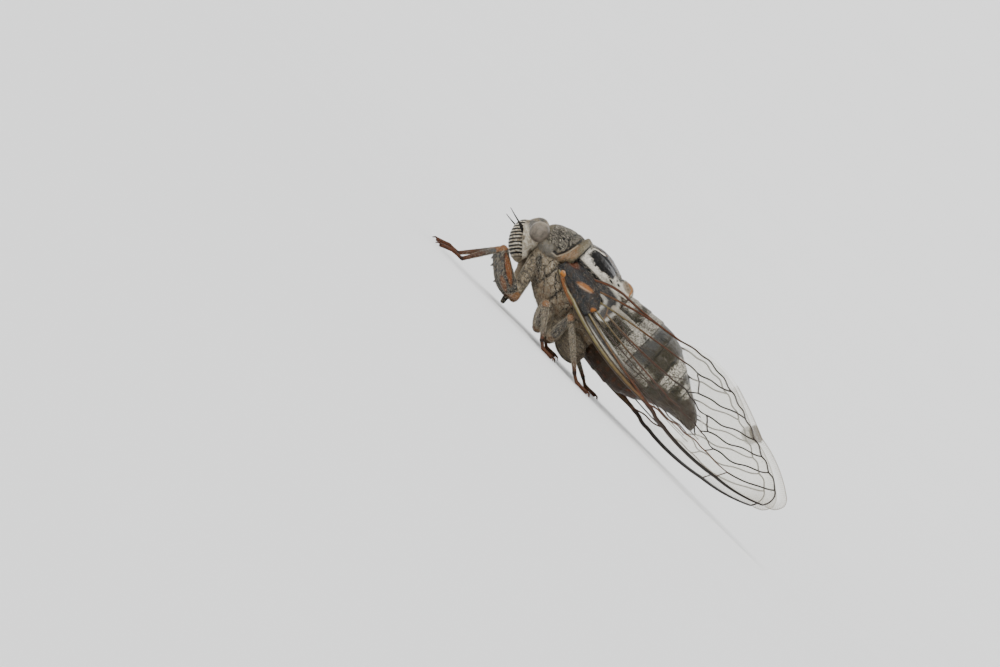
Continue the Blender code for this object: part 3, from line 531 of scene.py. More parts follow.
def rod(points, radii, steps=4, sides=12):
    """A rod on a smooth curve through points, its ends rounded."""
    rows = through([(*point, radius) for point, radius in zip(points, radii)], steps)
    ends = []
    for last, before in ((rows[0], rows[1]), (rows[-1], rows[-2])):
        out = (last - before)[:3]
        ends.append((*(last[:3] + out / np.linalg.norm(out) * last[3] * 0.5), last[3] * 0.55))
    rows = np.vstack([ends[0], rows, ends[1]])
    return pipe(rows[:, :3], rows[:, 3], sides)


def merge(pieces):
    """Makes one object of several."""
    begin()
    for piece in pieces:
        piece.select_set(True)
    bpy.context.view_layer.objects.active = pieces[0]
    if len(pieces) > 1:
        bpy.ops.object.join()
    return pieces[0]


def fuse(pieces, voxel, smooth=6):
    """Melts overlapping closed pieces into one even skin."""
    obj = merge(pieces)
    apply(obj, "REMESH", mode="VOXEL", voxel_size=voxel, adaptivity=0.0)
    return apply(obj, "SMOOTH", factor=0.5, iterations=smooth)


def roughen(obj, size, depth):
    """Pits and bumps of one size, sunk into or raised from the surface."""
    texture = bpy.data.textures.new("clouds", "CLOUDS")
    texture.noise_scale = size
    apply(obj, "DISPLACE", texture=texture, strength=depth, mid_level=0.5, texture_coords="LOCAL")
    bpy.data.textures.remove(texture)
    return obj


def points_of(obj, field="co"):
    """The places or the normals of a piece's points."""
    values = np.empty(len(obj.data.vertices) * 3)
    obj.data.vertices.foreach_get(field, values)
    return values.reshape(-1, 3)


def set_points(obj, points):
    obj.data.vertices.foreach_set("co", np.ascontiguousarray(points).ravel())
    obj.data.update()


def distance_to(line, places):
    """Distance of many places from a line through points, in any number of dimensions."""
    nearest = np.full(len(places), np.inf)
    for start, end in zip(np.array(line, float), np.array(line, float)[1:]):
        along = end - start
        share = np.clip(((places - start) @ along) / max(along @ along, 1e-12), 0, 1)
        nearest = np.minimum(nearest, np.linalg.norm(places - start - share[:, None] * along, axis=1))
    return nearest


def emboss(obj, strokes):
    """Raises or sinks soft lines that are drawn in the side view or the top view, on both sides alike.

    A stroke has its view, its points, its half width and its height.
    """
    places = points_of(obj)
    normals = points_of(obj, "normal")
    views = {"side": places[:, [0, 2]], "top": np.stack([places[:, 0], abs(places[:, 1])], axis=1)}
    rise = np.zeros(len(places))
    for view, line, width, height in strokes:
        rise += height * np.exp(-((distance_to(line, views[view]) / width) ** 2))
    set_points(obj, places + normals * rise[:, None])
    return obj


def mirrored(point, side):
    """A point with its Y times the side: -1 for left, 1 for right."""
    return Vector((point[0], point[1] * side, point[2]))


def settle(obj, name, turn, material, slot, nodes=()):
    """Brings a piece from its drawing into the frame, gives it its finish and ties it to the solids."""
    obj.name = name
    obj.data.name = name
    obj.data.transform(Matrix.Scale(MM, 4) @ Matrix.Translation(CENTRE) @ turn)
    obj.data.materials.clear()
    obj.data.materials.append(material)
    choose(obj)
    bpy.ops.object.shade_smooth_by_angle(angle=SHARP_EDGE)
    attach(obj, BODY)
    if nodes:
        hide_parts(*nodes)
    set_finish(obj, slot)
    return obj


# Finishes


class Value:
    """A number that changes over a surface, written with the usual operators."""

    def __init__(self, finish, socket):
        self.finish = finish
        self.socket = socket

    def maths(self, operation, *others, clamp=False):
        return self.finish.add(
            "ShaderNodeMath", {"operation": operation, "use_clamp": clamp}, [self, *others]
        )

    def __add__(self, other):
        return self.maths("ADD", other)

    def __radd__(self, other):
        return self.maths("ADD", other)

    def __sub__(self, other):
        return self.maths("SUBTRACT", other)

    def __rsub__(self, other):
        return (self * -1) + other

    def __mul__(self, other):
        return self.maths("MULTIPLY", other)

    def __rmul__(self, other):
        return self.maths("MULTIPLY", other)

    def __truediv__(self, other):
        return self.maths("DIVIDE", other)

    def __pow__(self, other):
        return self.maths("POWER", other)

    def size(self):
        return self.maths("ABSOLUTE")

    def wave(self):
        return self.maths("SINE")

    def least(self, other):
        return self.maths("MINIMUM", other)

    def most(self, other):
        return self.maths("MAXIMUM", other)

    def kept(self):
        """The number held between 0 and 1."""
        return self.maths("ADD", 0.0, clamp=True)

    def rise(self, low, high):
        """0 below low, 1 above high and a soft step between them; falls where low is above high."""
        settings = {"interpolation_type": "SMOOTHSTEP"}
        inputs = {"Value": self, "From Min": low, "From Max": high, "To Min": 0.0, "To Max": 1.0}
        if low > high:
            inputs.update({"From Min": high, "From Max": low, "To Min": 1.0, "To Max": 0.0})
        return self.finish.add("ShaderNodeMapRange", settings, inputs)


class Finish:
    """A material whose pattern is drawn in the millimetres of the drawing."""

    def __init__(self, name, rolled=True):
        self.material = bpy.data.materials.new(name)
        self.material.use_nodes = True
        self.tree = self.material.node_tree
        self.tree.nodes.clear()
        self.output = self.tree.nodes.new("ShaderNodeOutputMaterial")
        self.colour = None
        height = Vector((0, 0, ROLL_HEIGHT if rolled else 0))
        turn = math.radians(ROLL_DEG if rolled else 0)
        back = height - Matrix.Rotation(turn, 3, "X") @ (CENTRE + height)
        place = self.add("ShaderNodeTexCoord", {}, {}, "Object")
        self.point = self.add(
            "ShaderNodeMapping",
            {},
            {"Vector": place, "Location": back, "Rotation": (turn, 0, 0), "Scale": (1 / MM,) * 3},
            "Vector",
        )
        parts = self.tree.nodes.new("ShaderNodeSeparateXYZ")
        self.tree.links.new(self.point.socket, parts.inputs[0])
        self.x, self.y, self.z = (Value(self, socket) for socket in parts.outputs)

    def add(self, kind, settings, inputs, output=0):
        """Adds a node of a type with its settings first and then the values or links of its sockets."""
        node = self.tree.nodes.new(kind)
        for key, value in settings.items():
            setattr(node, key, value)
        pairs = inputs.items() if isinstance(inputs, dict) else enumerate(inputs)
        for key, value in pairs:
            if isinstance(value, Value):
                self.tree.links.new(value.socket, node.inputs[key])
            else:
                node.inputs[key].default_value = value
        return Value(self, node.outputs[output])

    def place(self, stretch=(1, 1, 1)):
        """The place on the piece, stretched along the axes."""
        if stretch == (1, 1, 1):
            return self.point
        return self.add("ShaderNodeVectorMath", {"operation": "MULTIPLY"}, [self.point, stretch])

    def noise(self, size, detail=3.0, rough=0.55, warp=0.0, stretch=(1, 1, 1)):
        """Cloudy pattern from 0 to 1 whose blots are about this wide in millimetres."""
        inputs = {
            "Vector": self.place(stretch), "Scale": 1 / size, "Detail": detail, "Roughness": rough, "Distortion": warp
        }
        return self.add("ShaderNodeTexNoise", {}, inputs)

    def cells(self, size, feature="F1"):
        """Distance from the middle or the edge of cells about this wide."""
        inputs = {"Vector": self.point, "Scale": 1 / size}
        return self.add("ShaderNodeTexVoronoi", {"feature": feature}, inputs)

    def mix(self, share, first, second):
        """The first colour, going over to the second with the share."""
        def full(colour):
            return colour if isinstance(colour, Value) else (*colour[:3], 1.0)
        return self.add("ShaderNodeMix", {"data_type": "RGBA"}, {0: share, 6: full(first), 7: full(second)}, 2)

    def lay(self, share, colour):
        """Lays a colour over those that are there, as much of it as the share says."""
        self.colour = self.mix(share, self.colour, colour)

    def blot(self, centre, radii, soft=0.25, wobble=0.0, turn=0.0):
        """1 within an oval of the side view and 0 outside it."""
        cos, sin = math.cos(math.radians(turn)), math.sin(math.radians(turn))
        across = self.x - centre[0]
        up = self.z - centre[1]
        first = (across * cos + up * sin) / radii[0]
        second = (up * cos - across * sin) / radii[1]
        reach = (first * first + second * second) ** 0.5
        if wobble:
            reach = reach + (self.noise(0.5) - 0.5) * wobble
        return reach.rise(1 + soft, 1 - soft)

    def stripe(self, line, width, soft=0.4, wobble=0.0, flat=None):
        """1 along a line through points of the side view and 0 beyond its half width."""
        found = None
        first, second = flat if flat else (self.x, self.z)
        if wobble:
            shift = (self.noise(0.6) - 0.5) * wobble
            first = first + shift
            second = second + shift
        for start, end in zip(line, line[1:]):
            along = Vector(end) - Vector(start)
            length = along.length_squared
            across = first - start[0]
            up = second - start[1]
            share = ((across * along.x + up * along.y) / length).kept()
            off_x = across - share * along.x
            off_z = up - share * along.y
            reach = (off_x * off_x + off_z * off_z) ** 0.5
            found = reach if found is None else found.least(reach)
        return found.rise(width * (1 + soft), width * (1 - soft))

    def bump(self, height, depth):
        """A normal that follows a height; the depth is in millimetres."""
        return self.add("ShaderNodeBump", {}, {"Strength": 1.0, "Distance": depth * MM, "Height": height})

    def mark(self, name):
        """A number that the piece keeps at each of its points."""
        return self.add("ShaderNodeAttribute", {"attribute_name": name}, {}, "Fac")

    def surface(self, roughness, normal, more):
        """The finished surface with the laid colours, and more of its settings by name."""
        inputs = {"Base Color": self.colour, "Roughness": roughness, **more}
        if normal:
            inputs["Normal"] = normal
        finished = self.add("ShaderNodeBsdfPrincipled", {}, inputs)
        self.tree.links.new(finished.socket, self.output.inputs[0])
        return self.material

    def shell(self, roughness, normal=None, gloss=0.18):
        """The finished surface of opaque shell."""
        return self.surface(roughness, normal, {"Specular IOR Level": gloss})


def pitted(finish, fine=0.05, coarse=0.3, depth=0.03):
    """The bump of pitted shell under short down."""
    grain = finish.noise(fine, 4.0, 0.7)
    waves = finish.noise(coarse, 2.0, 0.5)
    return finish.bump(grain * 0.6 + waves, depth)


def speckled(finish, colours_used, size, spread=0.12):
    """Goes from the first colour to the last one in irregular flecks of about this size."""
    cloud = finish.noise(size, 4.0, 0.7, 0.4)
    colour = colours_used[0]
    for k, following in enumerate(colours_used[1:]):
        middle = 0.5 + spread * (2 * k + 2 - len(colours_used)) / 2
        colour = finish.mix(cloud.rise(middle - 0.05, middle + 0.05), colour, following)
    return colour


def head_finish():
    finish, tint = Finish("head_shell"), colours()
    finish.colour = speckled(finish, (tint.grey, tint.buff, tint.dust), 0.3)
    hairs = finish.noise(0.16, 4.0, 0.7, 0.0, (0.5, 1, 1.6)).rise(0.42, 0.58)
    cheek = (finish.x + finish.z).rise(-7.9, -8.8) * finish.z.rise(7.9, 7.2)
    bloom = finish.mix(hairs * 0.8, tint.dust, tint.silver)
    bloom = finish.mix(finish.noise(0.45, 4.0, 0.6).rise(0.52, 0.66) * 0.7, bloom, tint.buff)
    finish.lay(cheek * 0.92, bloom)
    crown = finish.blot((-16.75, 7.75), (0.42, 0.6), 0.4, 0.8, 20)
    bridge = finish.blot((-16.5, 8.8), (0.4, 0.3), 0.35, 0.7)
    finish.lay(crown.most(bridge) * 0.7, tint.slate)
    fold = finish.stripe(((-16.55, 6.3), (-16.3, 5.4), (-16.0, 4.8)), 0.16, 0.7, 0.3)
    finish.lay(fold * 0.75, tint.brown)
    rear = finish.stripe(((-15.1, 9.3), (-14.8, 8.4)), 0.2, 0.6, 0.4)
    finish.lay(rear * 0.8, tint.dark)
    creases = finish.stripe(((-15.2, 6.0), (-14.8, 5.2), (-14.7, 4.6)), 0.08, 0.7, 0.3)
    finish.lay(creases * 0.7, tint.brown)
    return finish.shell(0.62, pitted(finish, 0.05, 0.22, 0.05))


def nose_finish():
    finish, tint = Finish("nose_bars"), colours()
    axis = (Vector(NOSE_FOOT) - Vector(NOSE_TOP)).normalized()
    along = (finish.x - NOSE_TOP[0]) * axis.x + (finish.z - NOSE_TOP[1]) * axis.y
    bent = along + finish.y.size() * 0.16 + (finish.noise(0.5) - 0.5) * 0.1
    bars = (bent * (math.tau / NOSE_BAR)).wave().rise(-0.1, 0.35)
    middle = finish.y.size().rise(0.06, 0.2)
    pale = speckled(finish, (tint.buff, tint.dust, tint.silver), 0.18, 0.08)
    lower = along.rise(3.6, 4.1)
    finish.colour = finish.mix(bars * middle, tint.dark, pale)
    finish.lay(lower, finish.mix(finish.noise(0.2).rise(0.4, 0.6), tint.buff, tint.dust))
    return finish.shell(0.42, pitted(finish, 0.04, 0.2, 0.02))


def eye_finish():
    finish, tint = Finish("eye"), colours()
    cloud = finish.noise(0.45, 3.0)
    dark = tuple(channel * 0.55 for channel in tint.eye)
    finish.colour = finish.mix(cloud.rise(0.35, 0.65), tint.eye, dark)
    pores = finish.cells(0.34, "F1").rise(0.2, 0.12) * finish.noise(0.6).rise(0.5, 0.58)
    finish.lay(pores * 0.7, tint.brown)
    upper = (finish.z - finish.x * 0.6).rise(17.65, 18.25) * 0.5
    finish.lay(upper, tint.dust)
    finish.lay(finish.z.rise(7.0, 6.7) * 0.6, tint.brown)
    facets = finish.cells(0.055)
    return finish.shell(0.45, finish.bump(facets, 0.014), 0.3)


def ocellus_finish():
    finish = Finish("ocellus")
    finish.colour = finish.mix(finish.noise(0.2).rise(0.4, 0.6), (0.3, 0.05, 0.015), (0.14, 0.02, 0.01))
    return finish.shell(0.15, gloss=0.5)


def bristle_finish():
    finish, tint = Finish("bristle"), colours()
    rings = (finish.x * (math.tau / 0.28)).wave().rise(-0.4, 0.6)
    finish.colour = finish.mix(rings * finish.noise(0.3) * 0.5, tint.dark, tint.grey)
    return finish.shell(0.4, finish.bump(rings, 0.02))


def pronotum_finish():
    finish, tint = Finish("fore_shell"), colours()
    fine = finish.noise(0.13, 4.0, 0.65, 0.4)
    olive = finish.mix(0.35, tint.grey, tint.olive)
    finish.colour = speckled(finish, (tint.grey, olive, tint.buff), 0.3, 0.14)
    swirl = finish.noise(0.75, 1.0, 0.4, 2.6, (1.0, 0.8, 1.5))
    marble = (swirl * 40.0).wave() + (fine - 0.5) * 0.9
    worms = marble.rise(-0.55, -0.2)
    pale = marble.rise(-0.55, -0.8)
    disc = finish.x.rise(-15.3, -14.9) * finish.x.rise(-12.3, -12.6) * finish.z.rise(7.4, 7.9)
    finish.lay(disc * worms, tint.dark)
    finish.lay(disc * pale * 0.85, finish.mix(0.4, tint.dust, tint.silver))
    front = finish.blot((-14.0, 7.0), (1.25, 0.6), 0.5, 0.5, 10)
    finish.lay(front * fine.rise(0.34, 0.52) * 0.85, finish.mix(0.24, tint.slate, tint.dust))
    back = finish.stripe(((-12.45, 7.35), (-11.95, 8.2), (-11.8, 9.1)), 0.42, 0.7, 0.5)
    hatch = (finish.z * 1.2 + finish.x * 2.6 + finish.noise(0.4) * 1.6) * (math.tau / 0.32)
    sand = finish.mix(fine.rise(0.46, 0.64) * 0.8, finish.mix(0.45, tint.orange, tint.buff), tint.dust)
    sand = finish.mix(hatch.wave().rise(0.1, 0.7) * 0.75, sand, tint.grey)
    finish.lay(back * 0.85, sand)
    for line, share in zip(PRONOTUM_GROOVES, (0.5, 0.95, 0.6)):
        finish.lay(finish.stripe(line, 0.11, 0.7, 0.3) * share, tint.dark)
    rim = finish.stripe(((-13.45, 7.0), (-12.8, 7.1), (-12.35, 8.1), (-12.1, 9.4)), 0.05, 0.6, 0.12)
    finish.lay(rim * 0.6, tint.dust)
    midline = finish.y.size().rise(0.34, 0.2) * finish.x.rise(-14.9, -14.6)
    sides = (finish.y.size() - 0.42).size().rise(0.16, 0.08)
    finish.lay(sides * finish.z.rise(9.5, 9.9) * 0.9, tint.dark)
    finish.lay(midline * finish.z.rise(9.3, 9.8) * (0.8 - fine * 0.5), tint.orange)
    collar = finish.x.rise(-11.95, -11.75) * finish.z.rise(8.6, 9.1)
    hem = finish.mix(fine.rise(0.46, 0.66) * 0.8, olive, tint.dust)
    finish.lay(collar, hem)
    edge = finish.x.rise(-11.32, -11.22)
    finish.lay(edge, tint.dark)
    relief = finish.noise(0.06, 4.0, 0.7) * 0.6 + worms * disc * -1.2 + finish.noise(0.3)
    relief = relief + hatch.wave() * back * 0.3
    return finish.shell(fine * 0.25 + 0.42, finish.bump(relief, 0.05))


def mesonotum_finish():
    finish, tint = Finish("mid_shell"), colours()
    fine = finish.noise(0.12, 4.0, 0.7, 0.3)
    flames = finish.noise(0.5, 3.0, 0.6, 0.3, (1.4, 1, 0.9))
    finish.colour = finish.mix(finish.noise(0.9).rise(0.6, 0.75) * 0.3, tint.dark, tint.brown)
    across = (finish.x + 8.95) / 2.05
    over = (finish.z - 10.25) / 1.15
    reach = (across * across + over * over) ** 0.5 + (flames - 0.5) * 1.0 + (fine - 0.5) * 0.9
    silver = reach.rise(0.86, 1.16) * finish.z.rise(10.75, 10.35).most(finish.x.rise(-7.7, -7.2))
    fleck = fine.rise(0.34, 0.48)
    finish.lay(silver * fleck * 0.97, tint.silver)
    finish.lay(silver * (1 - fleck) * 0.4, tint.buff)
    finish.lay(fine.rise(0.62, 0.7) * 0.25, tint.dust)
    y = finish.y.size()
    ochre = finish.mix(fine.rise(0.4, 0.6), tint.orange, tint.buff)
    lines = finish.stripe(((-11.3, 0.2), (-8.0, 0.1)), 0.07, 0.5, 0.15, (finish.x, y))
    for line in (((-11.3, 1.75), (-9.9, 1.7), (-8.7, 1.15)), ((-10.3, 2.35), (-8.4, 2.1), (-7.0, 2.0))):
        lines = lines.most(finish.stripe(line, 0.06, 0.5, 0.2, (finish.x, y)))
    finish.lay(lines * finish.z.rise(10.2, 10.5) * 0.6, ochre)
    pale = finish.stripe(((-11.3, 10.25), (-10.4, 10.6), (-9.5, 10.75)), 0.05, 0.7, 0.3)
    finish.lay(pale * flames.rise(0.3, 0.5), tint.silver)
    for centre, radii in (((-6.75, 10.35), (0.45, 0.4)), ((-6.5, 9.6), (0.2, 0.14)), ((-7.3, 9.25), (0.3, 0.1))):
        finish.lay(finish.blot(centre, radii, 0.3, 0.5), tint.dark)
    cross = finish.blot((-5.5, 10.35), (0.85, 0.6), 0.25, 0.4)
    pink = finish.mix(fine.rise(0.44, 0.62) * 0.7, finish.mix(0.3, tint.buff, tint.rust), tint.dust)
    finish.lay(cross, finish.mix(finish.noise(0.3).rise(0.52, 0.62) * 0.6, pink, tint.grey))
    rim = finish.stripe(((-6.0, 10.75), (-5.2, 10.45), (-4.95, 9.7)), 0.09, 0.6, 0.14)
    finish.lay(rim * 0.85, tint.orange)
    under = finish.z.rise(8.75, 8.5)
    finish.lay(under, tint.dark)
    return finish.shell(0.26 + silver * 0.4, pitted(finish, 0.06, 0.4, 0.022), 0.25)


def thorax_finish():
    finish, tint = Finish("flank_shell"), colours()
    fine = finish.noise(0.13, 4.0, 0.7)
    finish.colour = speckled(finish, (tint.grey, tint.buff, tint.buff, tint.dust), 0.34, 0.13)
    # The shell's own dark seams, joined by painted shade in the gap behind the fore hip and along the deep grooves of
    # the relief.
    seams_and_painted_shade = finish.cells(0.85, "DISTANCE_TO_EDGE").rise(0.06, 0.015) * finish.noise(0.8).rise(0.4, 0.5)
    seams_and_painted_shade = seams_and_painted_shade.most(finish.stripe(((-14.0, 5.9), (-13.15, 4.85), (-12.3, 3.75)), 0.3, 0.5, 0.25))
    for _, line, width, height in THORAX_RELIEF:
        if height < -0.14:
            seams_and_painted_shade = seams_and_painted_shade.most(finish.stripe(line, width * 0.5, 0.8, 0.3))
    finish.lay(seams_and_painted_shade * 0.95, tint.dark)
    finish.lay(fine.rise(0.52, 0.68) * 0.6, tint.silver)
    warm = finish.z.rise(5.4, 3.8) * finish.noise(0.6).rise(0.4, 0.62)
    finish.lay(warm * 0.6, finish.mix(0.25, tint.buff, tint.orange))
    under = finish.z.rise(3.4, 2.6)
    finish.lay(under * 0.7, tint.brown)
    top = finish.z.rise(7.7, 8.3) * finish.x.rise(-11.6, -11.2)
    rear = finish.x.rise(-7.9, -7.2) * finish.z.rise(5.6, 6.6)
    shade = finish.mix(fine.rise(0.5, 0.64) * 0.6, tint.brown, tint.grey)
    finish.lay(rear * 0.95, shade)
    finish.lay(top, finish.mix(rear, tint.dark, shade))
    relief = finish.noise(0.06, 4.0, 0.7) * 0.6 + finish.noise(0.4) - seams_and_painted_shade * 1.4
    return finish.shell(0.62, finish.bump(relief, 0.06))


def hinge_finish():
    """The opaque root of the fore wing: dark hairy shell with an orange window."""
    finish, tint = Finish("wing_hinge"), colours()
    fine = finish.noise(0.1, 4.0, 0.7)
    finish.colour = finish.mix(fine.rise(0.5, 0.66) * 0.8, tint.dark, tint.slate)
    finish.lay(finish.noise(0.5).rise(0.45, 0.6) * 0.6, tint.brown)
    finish.lay(fine.rise(0.66, 0.74) * 0.35, tint.dust)
    window = finish.blot((-8.7, 6.8), (0.85, 0.28), 0.4, 0.6, 12)
    glow = finish.mix(fine.rise(0.4, 0.6) * 0.6, tint.orange, tint.rust)
    low = (finish.z - finish.x * 0.2).rise(8.52, 8.36)
    glow = finish.mix(low, glow, finish.mix(0.5, tint.orange, tint.dust))
    finish.lay(window * 0.95, glow)
    spot = finish.blot((-6.5, 5.65), (0.34, 0.26), 0.4, 0.6)
    finish.lay(spot * 0.9, finish.mix(fine.rise(0.4, 0.6) * 0.5, tint.orange, tint.rust))
    flap = finish.stripe(((-11.2, 6.0), (-10.3, 5.45), (-9.3, 4.95), (-8.2, 4.5)), 0.26, 0.3, 0.1)
    streak = finish.mix(fine.rise(0.35, 0.65) * 0.6, finish.mix(0.55, tint.orange, tint.rust), tint.brown)
    finish.lay(flap, finish.mix(finish.x.rise(-9.6, -8.2) * 0.8, streak, tint.brown))
    root = finish.blot((-11.3, 7.75), (0.8, 0.35), 0.4, 0.3)
    finish.lay(root * 0.8, tint.rust)
    return finish.shell(0.45, pitted(finish, 0.05, 0.3, 0.04))


def knob_finish():
    finish, tint = Finish("hinge_knob"), colours()
    finish.colour = finish.mix(finish.z.rise(6.2, 6.6) * 0.45, tint.orange, tint.dust)
    finish.lay(finish.noise(0.2).rise(0.55, 0.7) * 0.6, tint.brown)
    return finish.shell(0.4, pitted(finish, 0.05, 0.2, 0.02))


def abdomen_finish():
    finish, tint = Finish("belly_shell"), colours()
    fine = finish.noise(0.14, 4.0, 0.7, 0.2)
    x = finish.x + (finish.noise(0.8, 5.0, 0.72) - 0.5) * 1.7
    olive = finish.mix(0.14, tint.dark, tint.olive)
    finish.colour = finish.mix(finish.noise(0.4, 4.0, 0.65).rise(0.48, 0.66) * 0.8, olive, tint.grey)
    mottled = finish.noise(0.35, 4.0, 0.7, 0.3).rise(0.62, 0.5)
    white = x.rise(-5.0, -4.7) * x.rise(-3.2, -3.6) * finish.z.rise(8.1, 8.7) * 0.8
    white = white.most(x.rise(-2.6, -2.3) * x.rise(-0.3, -0.7) * 0.66)
    white = white.most(x.rise(2.9, 3.2) * x.rise(4.7, 4.4) * finish.z.rise(5.2, 5.9))
    white = white.most(x.rise(5.2, 5.4) * x.rise(6.7, 6.4) * finish.z.rise(5.9, 6.6) * 0.85)
    sides = finish.z.rise(5.8, 5.2) * finish.z.rise(3.8, 4.4) * x.rise(-2.0, -1.6) * x.rise(2.5, 2.2)
    white = white.most(sides * 0.8)
    white = white * (finish.z.rise(3.8, 6.2) * 0.5 + 0.5)
    finish.lay(white * fine.rise(0.38, 0.58) * (mottled * 0.6 + 0.32), tint.silver)
    bluish = x.rise(-0.8, -0.5) * x.rise(0.8, 0.5)
    finish.lay(bluish * fine.rise(0.35, 0.6) * 0.6, tint.slate)
    rear = x.rise(3.4, 4.2) * finish.z.rise(5.9, 5.2)
    finish.lay(rear * 0.8, tint.brown)
    joint = 0.0
    for place in RINGS_BELLY[2:-1]:
        band = (finish.x - place + 0.03).size().rise(0.1, 0.04)
        joint = band.most(joint)
    finish.lay(joint * 0.75, tint.dark)
    spots = finish.cells(0.75).rise(0.3, 0.2) * finish.noise(0.9).rise(0.5, 0.6)
    finish.lay(spots * 0.8, tint.dark)
    tip = x.rise(6.1, 6.5)
    finish.lay(tip * 0.97, finish.mix(fine.rise(0.4, 0.62), tint.brown, tint.grey))
    under = finish.z.rise(4.6, 3.6)
    hairs = finish.noise(0.13, 4.0, 0.7, 0.0, (0.6, 1.0, 1.9)).rise(0.58, 0.7)
    finish.lay(hairs * (1 - white) * 0.4, tint.dust)
    # The underside is laid over in dark brown with rust patches: partly its own colour, partly painted shade.
    amber = finish.mix(finish.noise(0.7).rise(0.52, 0.68), tint.brown, tint.rust)
    finish.lay(under * 0.95, amber)
    finish.lay(finish.noise(0.08).rise(0.67, 0.72) * 0.25, tint.dust)
    return finish.shell(0.4 + white * 0.2, pitted(finish, 0.05, 0.3, 0.04))


def cover_finish():
    finish, tint = Finish("sound_cover"), colours()
    streaks = finish.noise(0.22, 4.0, 0.7, 0.3, (0.5, 1, 1.8))
    finish.colour = finish.mix(streaks.rise(0.42, 0.6), tint.grey, tint.buff)
    finish.lay(streaks.rise(0.58, 0.7) * 0.6, tint.dust)
    finish.lay(finish.x.rise(-5.0, -4.2) * 0.6, tint.brown)
    return finish.shell(0.55, pitted(finish, 0.05, 0.25, 0.04))


def beak_finish():
    finish, tint = Finish("mouth_shell"), colours()
    finish.colour = finish.mix(finish.z.rise(3.4, 2.0), tint.buff, tint.rust)
    finish.lay(finish.z.rise(1.5, 0.9), tint.dark)
    finish.lay(finish.noise(0.12).rise(0.52, 0.66) * 0.6, tint.dust)
    return finish.shell(0.5, pitted(finish))


def leg_finish(pair):
    """Legs are coloured along their length: 0 to 1 hip, 1 to 2 thigh, 2 to 3 shin, 3 to 4 foot."""
    finish, tint = Finish(f"{pair}_leg", rolled=False), colours()
    along = finish.mark("along")
    fine = finish.noise(0.11, 4.0, 0.7)
    streaks = finish.noise(0.2, 4.0, 0.65, 0.2, (2.0, 1.0, 0.5) if pair == "fore" else (1.8, 1.0, 0.4))
    hip = speckled(finish, (tint.brown, tint.grey, tint.buff, tint.dust), 0.3, 0.12)
    thigh = finish.mix(streaks.rise(0.44, 0.54), tint.slate, tint.grey)
    thigh = finish.mix(finish.noise(0.35).rise(0.5, 0.62) * 0.7, thigh, tint.brown)
    thigh = finish.mix(streaks.rise(0.46, 0.4) * 0.75, thigh, tint.dark)
    thigh = finish.mix(streaks.rise(0.57, 0.66) * 0.75, thigh, tint.dust)
    if pair == "fore":
        thigh = finish.mix(finish.blot((-15.35, 3.3), (1.9, 0.46), 0.2, 0.2, -36) * 0.8, thigh, tint.dark)
        panel = finish.blot((-15.35, 3.3), (1.6, 0.27), 0.2, 0.2, -36)
        panel = panel.most(finish.blot((-14.65, 1.9), (0.9, 0.26), 0.25, 0.3, -30) * 0.8)
        glow = finish.mix(fine.rise(0.38, 0.6), finish.mix(0.5, tint.orange, tint.rust), tint.rust)
        thigh = finish.mix(panel * 0.9, thigh, glow)
    shin = finish.mix(streaks.rise(0.48, 0.62), tint.grey, tint.slate if pair == "fore" else tint.buff)
    shin = finish.mix(fine.rise(0.56, 0.68) * 0.35, shin, tint.dust)
    if pair == "fore":
        low = finish.mix(fine.rise(0.4, 0.6), tint.rust, tint.brown)
        shin = finish.mix(along.rise(2.25, 2.6) * 0.8, shin, low)
    finish.colour = finish.mix(along.rise(0.95, 1.1), hip, thigh)
    finish.lay(along.rise(1.96, 2.02), shin)
    foot = finish.mix(fine.rise(0.4, 0.6), tint.rust, tint.brown)
    finish.lay(along.rise(2.7, 3.0), foot)
    amber = finish.mix(fine.rise(0.45, 0.6) * 0.8, tint.orange, tint.rust)
    for middle, width, share in ((1.02, 0.06, 0.6 if pair == "fore" else 0.25), (1.99, 0.035, 0.55)):
        ring = ((along - middle).size() + (streaks - 0.5) * 0.12).rise(width, width * 0.4)
        finish.lay(ring * share, amber)
    dark = (along - 3.0).size().rise(0.05, 0.02)
    dark = dark.most((along - 2.1).size().rise(0.03, 0.01)).most((along - 1.12).size().rise(0.03, 0.01))
    finish.lay(dark * 0.8, tint.dark)
    return finish.shell(0.38 + fine * 0.25, pitted(finish, 0.05, 0.2, 0.035))


def claw_finish():
    finish, tint = Finish("claw"), colours()
    finish.colour = finish.mix(finish.noise(0.2).rise(0.4, 0.6), tint.dark, tint.rust)
    return finish.shell(0.3)


